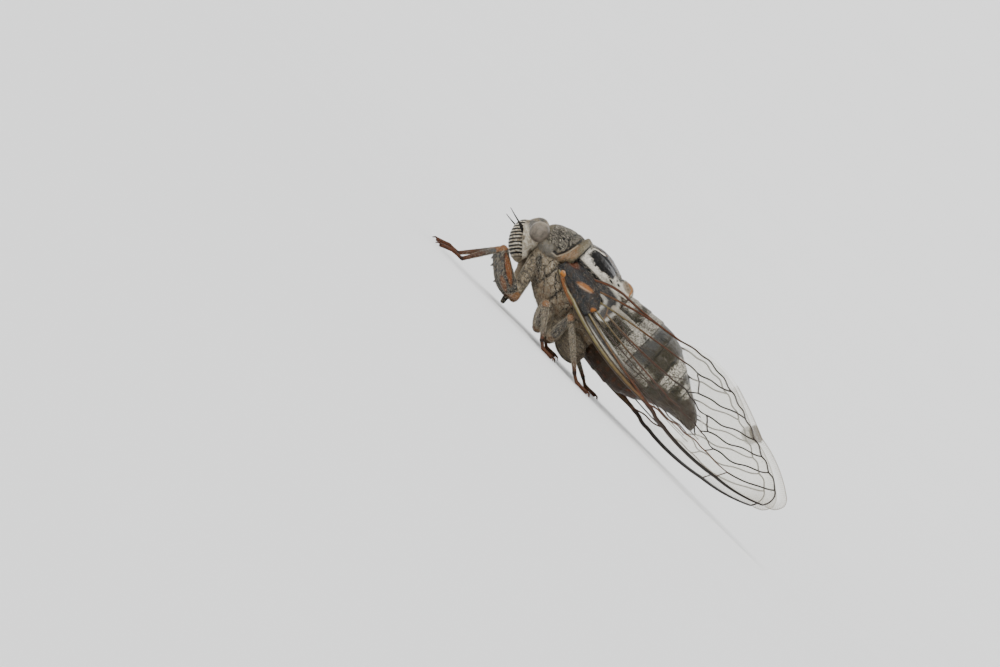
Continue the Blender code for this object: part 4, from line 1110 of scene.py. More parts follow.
def membrane_finish():
    finish, tint = Finish("wing_sheet"), colours()
    wrinkles = finish.noise(0.5, 3.0, 0.5, 0.0, (0.5, 0.5, 2.0))
    border = finish.mark("rim")
    rays = finish.mark("rays")
    base = finish.mark("base")
    dust = finish.noise(0.25, 4.0, 0.65)
    strip = finish.mark("strip")
    root = finish.mix(dust.rise(0.45, 0.6), tint.dark, finish.mix(0.5, tint.brown, tint.grey))
    finish.colour = finish.mix(base.most(strip), tint.membrane, root)
    pale = finish.stripe(((-5.3, 7.35), (-3.8, 7.5), (-2.3, 7.5)), 0.24, 0.5, 0.2)
    finish.lay(pale * 0.9, finish.mix(0.3, tint.dust, tint.slate))
    smoke = finish.blot((13.6, 8.8), (0.95, 0.72), 0.15, 0.3, -20)
    brown = finish.blot((18.6, 4.9), (1.6, 1.0), 0.7, 0.3)
    haze = finish.mix(0.45, tint.buff, tint.grey)
    finish.lay(smoke.most(brown * 0.4) * 0.9, haze)
    ridge = (rays * (math.tau / 0.2) + (dust - 0.5) * 3).wave() * 0.5 + 0.5
    finish.lay(border * ridge * 0.75, tint.buff)
    hem = border.rise(0.9, 0.97)
    finish.lay(hem * 0.8, haze)
    # Painted backlight: outside the belly's outline the sheet is made paler and less clear, in patches, standing in
    # for light from the backdrop scattered through the membrane; over the body only the faint film is left.
    painted_backlight = finish.mark("painted_backlight")
    film_and_backlight = 0.004 + painted_backlight * (0.12 + dust * 0.08)
    clear = film_and_backlight + border * 0.1 + smoke * 0.4 + brown * 0.08 + ridge * border * 0.2 + hem * 0.45
    clear = clear + base * 0.85 + pale * 0.4 + strip * finish.x.rise(1.5, -3.5) * 0.8
    height = wrinkles + dust * 0.3 + ridge * border * 0.35
    rough = 0.16 + base.most(strip) * 0.4 + pale * 0.2
    return finish.surface(rough, finish.bump(height, 0.035), {"IOR": 1.4, "Alpha": clear.kept()})


def vein_finish():
    finish, tint = Finish("vein"), colours()
    tone = finish.mark("tone")
    fleck = finish.noise(0.35, 3.0)
    finish.colour = finish.mix(tone.rise(0.1, 0.55), tint.olive, tint.rust)
    finish.lay(tone.rise(0.55, 0.9), tint.dark)
    finish.lay(fleck.rise(0.5, 0.68) * 0.6, tint.dark)
    # Laid in brown by the distance from each vein's middle line in the side view: partly the veins' own dark edges,
    # partly painted shade on the flanks that leaves the olive middle as a painted highlight.
    side = finish.mark("side")
    finish.lay(side.rise(0.3, 0.7) * 0.9, tint.brown)
    return finish.shell(0.34, finish.bump(finish.noise(0.12), 0.01), 0.35)


def down_finish():
    finish, tint = Finish("down"), colours()
    finish.colour = finish.mix(finish.noise(0.4).rise(0.3, 0.6), finish.mix(0.5, tint.silver, tint.dust), tint.dust)
    return finish.shell(0.55)


def floor_finish():
    finish = Finish("pale_floor", rolled=False)
    shade = finish.noise(40.0, 2.0)
    finish.colour = finish.mix(shade, (0.87, 0.875, 0.865), (0.9, 0.9, 0.89))
    return finish.shell(0.75)


# Pieces

# Soft lines of relief: view, points, half width and height.
HEAD_RELIEF = (
    ("top", ((-17.3, 0.0), (-15.0, 0.0)), 0.1, -0.06),
    ("side", ((-17.2, 6.9), (-16.2, 6.2), (-15.2, 6.3)), 0.15, -0.12),
    ("top", ((-16.9, 1.0), (-15.6, 1.5), (-14.9, 1.6)), 0.12, -0.06),
)
BEAK_RELIEF = (
    ("side", ((-16, 3.9), (-12, 3.9)), 0.12, -0.07),
    ("side", ((-16, 2.4), (-12, 2.4)), 0.1, -0.07),
)
COVER_RELIEF = (("side", ((-6.6, 2.2), (-3.8, 1.6)), 0.2, -0.06),)
PRONOTUM_GROOVES = (
    ((-14.6, 9.3), (-13.6, 8.1), (-13.3, 7.3)),
    ((-13.35, 7.25), (-12.9, 7.3), (-12.55, 8.15), (-12.3, 9.5), (-12.25, 10.5)),
    ((-12.9, 10.4), (-13.3, 9.4), (-12.7, 8.6)),
    ((-15.0, 8.3), (-14.2, 7.2)),
)
PRONOTUM_RELIEF = tuple(("side", line, 0.22, -0.16) for line in PRONOTUM_GROOVES) + (
    ("side", ((-12.1, 10.9), (-12.1, 9.0), (-12.0, 7.4)), 0.12, -0.12),
    ("side", ((-11.7, 10.9), (-11.6, 9.0), (-11.4, 7.2)), 0.16, 0.08),
    ("top", ((-15.2, 0.0), (-12.3, 0.0)), 0.16, -0.08),
    ("side", ((-14.3, 6.2), (-12.6, 6.5), (-11.4, 7.2)), 0.3, 0.1),
)
MESONOTUM_RELIEF = (
    ("top", ((-11.3, 1.0), (-9.6, 1.35), (-8.6, 1.0)), 0.12, -0.07),
    ("top", ((-11.3, 2.6), (-9.0, 2.9), (-7.2, 2.4)), 0.14, -0.08),
    ("top", ((-7.1, 0.0), (-6.5, 0.8), (-6.9, 1.4)), 0.2, -0.12),
    ("side", ((-11.0, 8.7), (-8.6, 8.7), (-6.2, 9.1)), 0.18, -0.1),
)
THORAX_RELIEF = (
    ("side", ((-12.6, 8.6), (-12.0, 6.6), (-12.3, 4.2)), 0.22, -0.22),
    ("side", ((-10.9, 8.6), (-10.1, 6.3), (-10.4, 3.2)), 0.25, -0.25),
    ("side", ((-8.4, 8.8), (-8.0, 6.3), (-8.2, 3.0)), 0.25, -0.25),
    ("side", ((-12.4, 6.4), (-10.2, 5.6), (-8.0, 5.6)), 0.18, -0.15),
    ("side", ((-13.0, 5.6), (-12.1, 4.7), (-11.2, 3.7)), 0.16, -0.2),
    ("side", ((-11.7, 5.8), (-10.9, 4.9), (-9.9, 4.2)), 0.16, -0.18),
    ("side", ((-11.5, 7.9), (-9.2, 7.6), (-6.9, 7.8)), 0.3, 0.15),
    ("side", ((-11.3, 5.0), (-9.2, 4.4)), 0.45, 0.15),
)


def trunk_rings(stations, steps):
    """Closed rings of the trunk's outline, one at each step along it."""
    rings = []
    for x, crown, middle, underside, half_width in through(stations, steps):
        ring = []
        for angle in np.linspace(0, math.tau, TRUNK_SIDES, endpoint=False):
            reach = crown - middle if math.sin(angle) > 0 else middle - underside
            ring.append((x, half_width * math.cos(angle), middle + reach * math.sin(angle)))
        rings.append(ring)
    return rings


class CICADA_OT_head(bpy.types.Operator):
    """Builds the head, its simple eyes, the ribbed nose shield and the mouth sheath."""

    bl_idname = "cicada.head"
    bl_label = "Head"

    def execute(self, context):
        half = through(HEAD, 3)
        rows = [row * np.array((-1, 1, 1, 1, 1)) for row in half[:0:-1]] + list(half)
        rings = []
        for y, x, z, depth, height in rows:
            angles = np.linspace(0, math.tau, HEAD_SIDES, endpoint=False)
            rings.append([(x + depth * math.cos(a), y, z + height * math.sin(a)) for a in angles])
        lumps = [hull(rings)]
        for side in SIDES.values():
            lumps += [ball(mirrored(centre, side), radii) for centre, radii in HEAD_LUMPS]
        for centre in OCELLI:
            lumps.append(ball(centre - np.array((0, 0, 0.12)), (0.34, 0.34, 0.25)))
        skull = merge(lumps)
        apply(skull, "REMESH", mode="VOXEL", voxel_size=PLATE_VOXEL, adaptivity=0.0)
        bpy.ops.object.mode_set(mode="EDIT")
        bpy.ops.mesh.select_all(action="SELECT")
        level = (FACE_LEVEL / 2, 0, FACE_LEVEL / 2)
        bpy.ops.mesh.bisect(plane_co=level, plane_no=(-1, 0, -1), use_fill=True, clear_outer=True)
        bpy.ops.object.mode_set(mode="OBJECT")
        fuse([skull], PLATE_VOXEL)
        emboss(skull, HEAD_RELIEF)
        roughen(skull, 0.25, 0.07)
        settle(skull, "skull", ROLL, head_finish(), "shell_grey", ["head"])

        dots = merge([ball(centre, (0.2, 0.2, 0.19), segments=20, rows=12) for centre in OCELLI])
        settle(dots, "ocelli", ROLL, ocellus_finish(), "eye")

        top, foot = Vector((NOSE_TOP[0], 0, NOSE_TOP[1])), Vector((NOSE_FOOT[0], 0, NOSE_FOOT[1]))
        axis = (foot - top).normalized()
        front = Vector((axis.z, 0, -axis.x))
        half_length = (foot - top).length / 2
        middle = (top + foot) / 2
        rings = []
        groove_depth, groove_reach = NOSE_GROOVE
        for k in range(1, NOSE_RINGS):
            along = -math.cos(math.pi * k / NOSE_RINGS)
            width = math.sqrt(1 - along**2)
            rib = NOSE_RIB * math.sin((along + 1) * half_length * math.tau / NOSE_BAR) * width
            ring = []
            for angle in np.linspace(0, math.tau, NOSE_SIDES, endpoint=False):
                ahead = math.sin(angle) > 0
                depth = NOSE_HALF_DEPTH if ahead else NOSE_INNER_DEPTH
                reach = abs(math.cos(angle))
                fold = rib * min(1.0, reach * 4)
                side = math.cos(angle) * (NOSE_HALF_WIDTH * width + fold)
                out = math.sin(angle) * (depth * width + fold)
                out -= groove_depth * width * max(0.0, 1 - reach / groove_reach) * ahead
                ring.append(middle + axis * along * half_length + front * out + Vector((0, side, 0)))
            rings.append(ring)
        settle(hull(rings), "nose_shield", ROLL, nose_finish(), "shell_dark", ["clypeus"])

        sheath = rod(BEAK, (0.55, 0.5, 0.42, 0.24), 8, 20)
        for groove in BEAK_RELIEF:
            emboss(sheath, (groove,))
        settle(sheath, "mouth_sheath", ROLL, beak_finish(), "shell_brown", ["rostrum"])
        return {"FINISHED"}


class CICADA_OT_eyes(bpy.types.Operator):
    """Builds the two large eyes."""

    bl_idname = "cicada.eyes"
    bl_label = "Eyes"

    def execute(self, context):
        finish = eye_finish()
        for name, side in SIDES.items():
            eye = ball(mirrored(EYE_CENTRE, side), EYE_RADII, segments=64, rows=40)
            settle(eye, f"eye_globe_{name}", ROLL, finish, "eye", [f"eye_{name}"])
        return {"FINISHED"}


class CICADA_OT_feelers(bpy.types.Operator):
    """Builds the two short feelers: a stout foot and a fine bristle."""

    bl_idname = "cicada.feelers"
    bl_label = "Feelers"

    def execute(self, context):
        finish = bristle_finish()
        for name, side in SIDES.items():
            foot = rod([mirrored(point, side) for point in FEELER_BASE], (0.3, 0.25, 0.2, 0.15))
            bristle = rod([mirrored(point, side) for point in FEELER_BRISTLE], (0.1, 0.085, 0.06, 0.035))
            settle(merge([foot, bristle]), f"feeler_{name}", ROLL, finish, "shell_dark", [f"antenna_{name}"])
        return {"FINISHED"}


class CICADA_OT_trunk(bpy.types.Operator):
    """Builds the two shields of the back, the flanks, the ringed belly and the sound covers."""

    bl_idname = "cicada.trunk"
    bl_label = "Trunk"

    def execute(self, context):
        relief = sizes().relief / MM
        fore = fuse([hull(trunk_rings(PRONOTUM, 4))], PLATE_VOXEL)
        emboss(fore, PRONOTUM_RELIEF)
        roughen(fore, 0.5, relief * 2)
        roughen(fore, 0.16, relief)
        settle(fore, "fore_shield", ROLL, pronotum_finish(), "shell_grey", ["pronotum"])

        lumps = [hull(trunk_rings(MESONOTUM, 4))]
        for side in SIDES.values():
            for end in CROSS_ENDS:
                middle = (Vector(CROSS_CENTRE) + mirrored(end, side)) / 2 + Vector((0, 0, 0.12))
                lumps.append(rod((CROSS_CENTRE, middle, mirrored(end, side)), (0.42, 0.38, 0.3)))
        lumps.append(ball(*CROSS_LOBE))
        mid = fuse(lumps, PLATE_VOXEL)
        emboss(mid, MESONOTUM_RELIEF)
        roughen(mid, 0.4, relief)
        settle(mid, "mid_shield", ROLL, mesonotum_finish(), "shell_dark", ["mesonotum"])

        flank = fuse([hull(trunk_rings(THORAX, 4))], TRUNK_VOXEL)
        emboss(flank, THORAX_RELIEF)
        roughen(flank, 0.7, relief * 4)
        roughen(flank, 0.2, relief)
        settle(flank, "flank", ROLL, thorax_finish(), "shell_grey", ["thorax"])

        rings = trunk_rings(ABDOMEN, 14)
        for ring in rings:
            x = ring[0][0]
            before = max([joint for joint in RINGS_BELLY if joint <= x], default=RINGS_BELLY[0])
            after = min([joint for joint in RINGS_BELLY if joint > x], default=ABDOMEN[-1][0] + 0.1)
            swell = 1 + 0.03 * ((x - before) / (after - before)) ** 2 - 0.015
            for k, (_, y, z) in enumerate(ring):
                ring[k] = (x, y * swell, BELLY_AXIS + (z - BELLY_AXIS) * swell)
        belly = fuse([hull(rings)], TRUNK_VOXEL, 2)
        roughen(belly, 0.5, relief)
        settle(belly, "belly_rings", ROLL, abdomen_finish(), "shell_dark", ["abdomen", "abdomen_tip"])

        finish = cover_finish()
        for name, side in SIDES.items():
            slant = (side * COVER_TILT_DEG, COVER_SLOPE_DEG, 0)
            cover = ball(mirrored(COVER_CENTRE, side), COVER_RADII, slant, 40, 24)
            emboss(cover, COVER_RELIEF)
            settle(cover, f"sound_cover_{name}", ROLL, finish, "shell_grey", [f"operculum_{name}"])
        return {"FINISHED"}


def arc(start, end, bow):
    """Points on a flat arc whose middle is bowed to the left of the straight line from start to end."""
    start = np.array(start, float)
    along = np.array(end, float) - start
    left = np.array((-along[1], along[0])) / np.linalg.norm(along)
    shares = np.linspace(0, 1, ARC_STEPS)[:, None]
    return start + along * shares + left * bow * 4 * shares * (1 - shares)


def wavy(line):
    """The small turns of the finer veins, alike wherever two veins meet."""
    x, z = line.T
    share = np.clip((x - 2.0) / 3.0, 0, 1) * np.clip((z - 0.25 * x - 0.4) / 1.0, 0, 1)
    shift = np.stack([0.07 * np.sin(2.3 * z + 1.1 * x), 0.09 * np.sin(2.9 * x - 1.9 * z)], axis=1)
    return line + shift * share[:, None]


def edge(junctions, arcs, count):
    """Points at even steps along a chain of arcs."""
    chain = np.vstack([arc(junctions[a], junctions[b], bow) for a, b, bow in arcs])
    length = np.concatenate([[0], np.cumsum(np.linalg.norm(np.diff(chain, axis=0), axis=1))])
    even = np.linspace(0, length[-1], count)
    return np.stack([np.interp(even, length, column) for column in chain.T], axis=1)


ROOF_ROWS = through(ROOF_LINE, 5)


def roof(x, z):
    """The folded wing's distance from the midline above places of the side view."""
    low, far, high = (np.interp(x, ROOF_ROWS[:, 0], column) for column in ROOF_ROWS.T[1:])
    rise = np.maximum(0.0, (z - low) / (high - low))
    return far * (1 - rise**ROOF_POWER)


def on_roof(places, side, depth):
    """Brings places of the side view onto the roof, or a depth under it."""
    x, z = places[..., 0], places[..., 1]
    slope_x = (roof(x + ROOF_STEP, z) - roof(x - ROOF_STEP, z)) / (2 * ROOF_STEP)
    slope_z = (roof(x, z + ROOF_STEP) - roof(x, z - ROOF_STEP)) / (2 * ROOF_STEP)
    inward = np.stack([slope_x, -np.ones_like(x), slope_z], axis=-1)
    inward /= np.linalg.norm(inward, axis=-1, keepdims=True)
    points = np.stack([x, roof(x, z), z], axis=-1) + inward * depth
    return points * np.array((1, side, 1))


def mark(obj, name, values):
    """Keeps a number from 0 to 1 at each point, for the finish to read."""
    layer = obj.data.attributes.new(name, "FLOAT", "POINT")
    layer.data.foreach_set("value", np.ascontiguousarray(values, np.float32))


def wing(name, side, junctions, front, rear, veins, depth, node, finishes):
    """One wing: the clear sheet between its edges, and the net of veins."""
    fore = node.startswith("fore")
    low = edge(junctions, front, WING_STEPS)
    high = edge(junctions, rear, WING_STEPS)
    shares = np.linspace(0, 1, WING_ROWS)[:, None, None]
    places = low * (1 - shares) + high * shares
    pane = joined(sheet(on_roof(places, side, depth)), JOIN_GAP)
    apply(pane, "SOLIDIFY", thickness=sizes().membrane / MM, offset=0.0)
    joined(pane, outward=True)

    lines = [(arc(junctions[a], junctions[b], bow), *rest) for a, b, bow, *rest in veins]
    flat = points_of(pane)[:, [0, 2]]
    rim = np.zeros(len(flat))
    if fore:
        lines = [(wavy(line), *rest) for line, *rest in lines]
        inner = np.vstack([line for vein, (line, *_) in zip(veins, lines) if vein[0].startswith("rim")])
        outer = np.vstack([high[WING_STEPS // 2:], low[:HEM_FRONT:-1]])
        rim = np.clip(1 - distance_to(outer, flat) / HEM_WIDTH, 0, 1) * (flat[:, 0] > HEM_START)
        rim *= np.clip(distance_to(inner, flat) / HEM_GAP, 0, 1)
    around = edge(junctions, (*front[1:], *[(b, a, -bow) for a, b, bow in reversed(rear[1:])]), RIM_STEPS)
    nearest = np.array([np.argmin(((around - place) ** 2).sum(axis=1)) for place in flat])
    step = np.linalg.norm(np.diff(around, axis=0), axis=1).mean()
    mark(pane, "rays", nearest * step)
    mark(pane, "rim", rim)
    mark(pane, "base", np.clip((0.85 - distance_to(WING_BASE, flat)) / 0.45, 0, 1) * fore)
    mark(pane, "strip", np.clip((0.4 - distance_to(WING_STRIP, flat)) / 0.15, 0, 1) * fore)
    # Painted backlight: a share for where the sheet lies beyond the belly in the side view, where the finish makes it
    # paler and less clear as if lit through from behind.
    trunk = through(ABDOMEN, 6)
    level = flat[:, 1] + ROLL_SLOPE * roof(flat[:, 0], flat[:, 1])
    above = level - np.interp(flat[:, 0], trunk[:, 0], trunk[:, 1], left=99)
    below = np.interp(flat[:, 0], trunk[:, 0], trunk[:, 3], left=-99) - level
    beyond = np.maximum(np.maximum(above, below), flat[:, 0] - trunk[-1, 0])
    mark(pane, "painted_backlight", np.clip((beyond - 0.05) / 0.4, 0, 1))

    begin()
    curve = bpy.data.curves.new("veins", "CURVE")
    curve.dimensions = "3D"
    curve.bevel_depth = 1.0
    curve.bevel_resolution = 2
    curve.use_fill_caps = True
    for line, start, end, *_ in lines:
        spline = curve.splines.new("POLY")
        spline.points.add(len(line) - 1)
        radii = np.linspace(start, end, len(line)) * sizes().vein_scale
        for knot, point, radius in zip(spline.points, on_roof(line, side, depth), radii):
            knot.co = (*point, 1.0)
            knot.radius = radius
    guide = bpy.data.objects.new("veins", curve)
    bpy.context.scene.collection.objects.link(guide)
    choose(guide)
    bpy.ops.object.convert(target="MESH")
    net = bpy.context.object
    flat = points_of(net)[:, [0, 2]]
    nearest = np.full(len(flat), np.inf)
    tone = np.zeros(len(flat))
    width = np.ones(len(flat))
    for line, start, end, first, last in lines:
        away = distance_to(line, flat)
        along = line[-1] - line[0]
        share = np.clip((flat - line[0]) @ along / (along @ along), 0, 1)
        closer = away < nearest
        nearest[closer] = away[closer]
        tone[closer] = (first + (last - first) * share)[closer]
        width[closer] = (start + (end - start) * share)[closer]
    mark(net, "tone", tone)
    # Share of the way from the vein's middle line to its edge in the side view; the finish lays painted shade on the
    # flanks with it.
    mark(net, "side", nearest / width)
    settle(pane, f"{name}_sheet", ROLL, finishes[0], "membrane", [node])
    settle(net, f"{name}_veins", ROLL, finishes[1], "membrane")


def hinge(name, side, finishes):
    """The opaque root of a fore wing, and the knob from which its front edge springs."""
    low = through(HINGE_LOW, 8)
    high = through(HINGE_HIGH, 8)
    shares = np.linspace(0, 1, HINGE_ROWS)[:, None, None]
    bulge = HINGE_BULGE * np.sin(math.pi * shares[..., 0]) ** 0.5
    places = low * (1 - shares) + high * shares
    plate = sheet(on_roof(places, side, -bulge[..., None]))
    apply(plate, "SOLIDIFY", thickness=HINGE_THICKNESS, offset=0.0)
    lumps = [plate]
    for line, width in HINGE_RIBS:
        route = on_roof(through(line, 3), side, -0.2)
        lumps.append(rod(route, [width] * len(route), 2, 10))
    plate = fuse(lumps, LIMB_VOXEL, 4)
    roughen(plate, 0.3, 0.08)
    settle(plate, f"wing_hinge_{name}", ROLL, finishes[0], "membrane")
    at = on_roof(np.array(KNOB_PLACE), side, -0.1)
    lumps = [ball(at, (0.42, 0.3, 0.36), (0, 25, 0)), ball(at + (0.3, 0, -0.25), (0.4, 0.2, 0.2))]
    knob = fuse(lumps, LIMB_VOXEL)
    settle(knob, f"wing_knob_{name}", ROLL, finishes[1], "membrane")


class CICADA_OT_wings(bpy.types.Operator):
    """Builds the clear wings with their nets of veins."""

    bl_idname = "cicada.wings"
    bl_label = "Wings"

    def execute(self, context):
        finishes = (membrane_finish(), vein_finish())
        hinges = (hinge_finish(), knob_finish())
        fore = (FOREWING_JUNCTIONS, FOREWING_FRONT, FOREWING_REAR, FOREWING_VEINS, 0.0)
        hind = (HINDWING_JUNCTIONS, HINDWING_FRONT, HINDWING_REAR, HINDWING_VEINS, HINDWING_DEPTH)
        for name, side in SIDES.items():
            wing(f"fore_{name}", side, *fore, f"forewing_{name}", finishes)
            wing(f"hind_{name}", side, *hind, f"hindwing_{name}", finishes)
            hinge(name, side, hinges)
        return {"FINISHED"}


def leg_joints(pair, side):
    """Hip, end of the coxa, knee, end of the tibia and toe, above the floor."""
    leg = LEGS[pair]
    hip = ROLL @ mirrored(leg["hip"], side)
    hinge, knee, ankle = (Vector(point) for point in leg["joints"])
    toe = Vector((*leg["toe"], SOLE_HEIGHT))
    if side == RIGHT:
        hinge, knee = (ROLL @ mirrored(ROLL.inverted() @ point, -1) for point in (hinge, knee))
        ankle, toe = (mirrored(point, -1) for point in (ankle, toe))
        knee.x += RIGHT_SHIFT[pair] / 2
        ankle.x += RIGHT_SHIFT[pair]
        toe.x += RIGHT_SHIFT[pair]
    hinge.z = max(hinge.z, LOWEST_HINGE)
    return [hip, hinge, knee, ankle, toe]


def bar(start, end, share, radii, steps, sides):
    """A straight rod with its second radius at a share of the way."""
    return rod((start, start.lerp(end, share), end), radii, steps, sides)


def build_leg(pair, name, side, finish, claw):
    """One leg with its spines in one skin, marked along its length, and its two claws."""
    leg = LEGS[pair]
    hip, hinge, knee, ankle, toe = leg_joints(pair, side)
    sag = Vector((0, 0, -leg["bow"]))
    thigh = [hinge.lerp(knee, share) + sag * math.sin(math.pi * share) for share, _ in FEMUR_SHAPE]
    widths = [leg["femur"] * width for _, width in FEMUR_SHAPE]
    thick, thin = leg["coxa"]
    lumps = [bar(hip, hinge, 0.5, (thick, thick * 0.95, thin), 4, 16)]
    lumps.append(ball(hinge, (leg["femur"] * 0.6,) * 3))
    lumps.append(rod(thigh, widths, 4, 16))
    upper, lower = leg["tibia"]
    shin = [knee.lerp(ankle, share) for share in TIBIA_KNOTS]
    lumps.append(rod(shin, (upper * 0.9, upper, (upper + lower) / 2, lower, lower * 1.1), 4, 14))
    lumps.append(ball(knee, (upper * 1.15,) * 3))
    share, height = leg["heel"]
    heel = ankle.lerp(toe, share)
    heel.z = height
    lumps.append(bar(ankle, heel, 0.6, (TARSUS_RADIUS, 0.17, TARSUS_RADIUS), 4, 12))
    lumps.append(bar(heel, toe, 0.4, (TARSUS_RADIUS, 0.19, 0.22), 4, 12))
    if pair == "fore":
        for share, length in FEMUR_SPINES:
            width = np.interp(share, *zip(*FEMUR_SHAPE)) * leg["femur"]
            root = hinge.lerp(knee, share) + sag * math.sin(math.pi * share)
            tip = root + Vector((-0.3, 0, -1)).normalized() * (width + length)
            lumps.append(bar(root, tip, 0.6, (0.24, 0.17, 0.05), 3, 10))
    else:
        for share in TIBIA_SPINES:
            root = knee.lerp(ankle, share)
            tip = root + Vector((0.5, 0.6 * side, -0.35)) * 0.75
            lumps.append(bar(root, tip, 0.5, (0.11, 0.08, 0.03), 3, 8))
    limb = fuse(lumps, LIMB_VOXEL, 3)
    roughen(limb, 0.25, 0.035)
    places = points_of(limb)
    routes = ((hip, hinge), thigh, (knee, ankle), (ankle, heel, toe))
    away = np.stack([distance_to(route, places) for route in routes])
    reach = np.array((thick, leg["femur"], upper, TARSUS_RADIUS))[:, None]
    which = np.argmin(away / reach, axis=0)
    along = np.zeros(len(places))
    for k, route in enumerate(routes):
        line = np.array(route[-1]) - np.array(route[0])
        part = np.clip((places - np.array(route[0])) @ line / (line @ line), 0, 1)
        along[which == k] = k + part[which == k]
    mark(limb, "along", along)
    places[:, 2] = np.maximum(places[:, 2], 0.0)
    set_points(limb, places)
    nodes = [f"{pair}_{part}_{name}" for part in ("coxa", "femur", "tibia", "tarsus")]
    settle(limb, f"{pair}_leg_{name}", NO_ROLL, finish, "shell_brown", nodes)
    ahead = toe - heel
    ahead.z = 0
    ahead.normalize()
    aside = Vector((-ahead.y, ahead.x, 0))
    hooks = []
    for turn in (-1, 1):
        root = toe + aside * turn * 0.12 - ahead * 0.1 + Vector((0, 0, 0.02))
        mid = root + ahead * 0.32 + aside * turn * 0.14 + Vector((0, 0, 0.06))
        tip = root + ahead * 0.58 + aside * turn * 0.3
        tip.z = 0.05
        hooks.append(rod((root, mid, tip), (0.11, 0.085, 0.03), 5, 10))
    settle(merge(hooks), f"{pair}_claws_{name}", NO_ROLL, claw, "shell_brown")


class CICADA_OT_legs(bpy.types.Operator):
    """Builds the six legs with their spines and claws."""

    bl_idname = "cicada.legs"
    bl_label = "Legs"

    def execute(self, context):
        claw = claw_finish()
        for pair in LEGS:
            finish = leg_finish(pair)
            for name, side in SIDES.items():
                build_leg(pair, name, side, finish, claw)
        return {"FINISHED"}


# Down: skin, share of the hairs, share of the longest hair, and the place kept free of it; then skins in pairs.
DOWN = (
    ("skull", 0.7, 0.5, None),
    ("fore_shield", 0.25, 0.5, None),
    ("mid_shield", 0.8, 0.8, "margin"),
    ("flank", 1.6, 1.0, None),
    ("belly_rings", 0.25, 0.4, None),
)
DOWN_PAIRS = (
    ("wing_hinge", 0.15, 0.6, None),
    ("sound_cover", 0.15, 0.5, None),
    ("fore_leg", 0.4, 0.7, "shank"),
    ("mid_leg", 0.4, 0.8, "shank"),
    ("hind_leg", 0.4, 0.8, "shank"),
)
# In metres: a hair's radius beside its share of the length, how deep its root sits, and the foot left bare.
HAIR_RADIUS = 0.000008
HAIR_SHARE = 0.02
HAIR_ROOT = 0.00001
BARE_FOOT = 0.0011
# The way the hairs lean, and the part of the mid shield without hairs: centre and radii in x and z, and its top.
HAIR_LAY = (0.9, 0.0, -0.45)
BARE_CENTRE = (-9.25, 9.95)
BARE_RADII = (1.75, 0.95)
BARE_TOP = 10.7


def drawn(places):
    """Places of the frame brought back to the level drawing of the body, in millimetres."""
    back = np.array(ROLL.inverted())
    return (places / MM - np.array(CENTRE)) @ back[:3, :3].T + back[:3, 3]


def tufts(skin, hair, count, longest, thinning, seed):
    """Short hairs over a skin, leaning back, each a copy of one fine spike."""
    rng = np.random.default_rng(seed)
    mesh = skin.data
    mesh.calc_loop_triangles()
    corners = np.empty(len(mesh.loop_triangles) * 3, np.int32)
    mesh.loop_triangles.foreach_get("vertices", corners)
    corners = corners.reshape(-1, 3)
    places = points_of(skin)
    first, second, third = (places[corners[:, k]] for k in range(3))
    normals = np.cross(second - first, third - first)
    area = np.linalg.norm(normals, axis=1)
    normals /= np.maximum(area, 1e-18)[:, None]
    weight = area.copy()
    if thinning == "margin":
        middle = drawn(places[corners].mean(axis=1))[:, [0, 2]]
        reach = np.linalg.norm((middle - BARE_CENTRE) / BARE_RADII, axis=1)
        weight *= (reach > 1.0) & (middle[:, 1] < BARE_TOP)
    if thinning == "shank":
        weight *= first[:, 2] > BARE_FOOT
    chosen = rng.choice(len(corners), size=count, p=weight / weight.sum())
    shares = rng.dirichlet((1, 1, 1), count)
    roots = (places[corners[chosen]] * shares[..., None]).sum(axis=1)
    outward = normals[chosen]
    lay = HAIR_LAY + rng.normal(0, 0.25, (count, 3))
    lay -= outward * (lay * outward).sum(axis=1, keepdims=True)
    ahead = outward * 0.5 + lay * 0.75
    ahead /= np.linalg.norm(ahead, axis=1, keepdims=True)
    aside = np.cross(ahead, rng.normal(0, 1, (count, 3)))
    aside /= np.linalg.norm(aside, axis=1, keepdims=True)
    over = np.cross(ahead, aside)
    length = longest * rng.uniform(0.45, 1.0, count)
    spike = points_of(hair)
    across = spike[None, :, 0:1] * aside[:, None] + spike[None, :, 1:2] * over[:, None]
    thick = HAIR_RADIUS + HAIR_SHARE * length[:, None, None]
    points = roots[:, None] + across * thick + ahead[:, None] * (spike[:, 2][None, :] * length[:, None])[..., None]
    points -= outward[:, None] * HAIR_ROOT
    faces = [tuple(face.vertices) for face in hair.data.polygons]
    steps = np.arange(count)[:, None] * len(spike)
    every = [steps + np.array(face)[None, :] for face in faces]
    coat = bpy.data.meshes.new("coat")
    coat.from_pydata(points.reshape(-1, 3).tolist(), [], np.concatenate(every).tolist())
    low, high = places.min(axis=0), places.max(axis=0)
    centre = (low + high) / 2
    u = (roots[:, 0] - low[0]) / (high[0] - low[0])
    v = np.arctan2(roots[:, 1] - centre[1], roots[:, 2] - centre[2]) / math.tau + 0.5
    patch = np.stack([u, v], axis=1)[:, None] * 0.99 + 0.005 + spike[None, :, :2] * 0.0015
    layer = coat.uv_layers.new(name="OFBake")
    ends = np.empty(len(coat.loops), np.int32)
    coat.loops.foreach_get("vertex_index", ends)
    layer.data.foreach_set("uv", patch.reshape(-1, 2)[ends].astype(np.float32).ravel())
    obj = bpy.data.objects.new(f"down_{skin.name}", coat)
    bpy.context.scene.collection.objects.link(obj)
    return obj


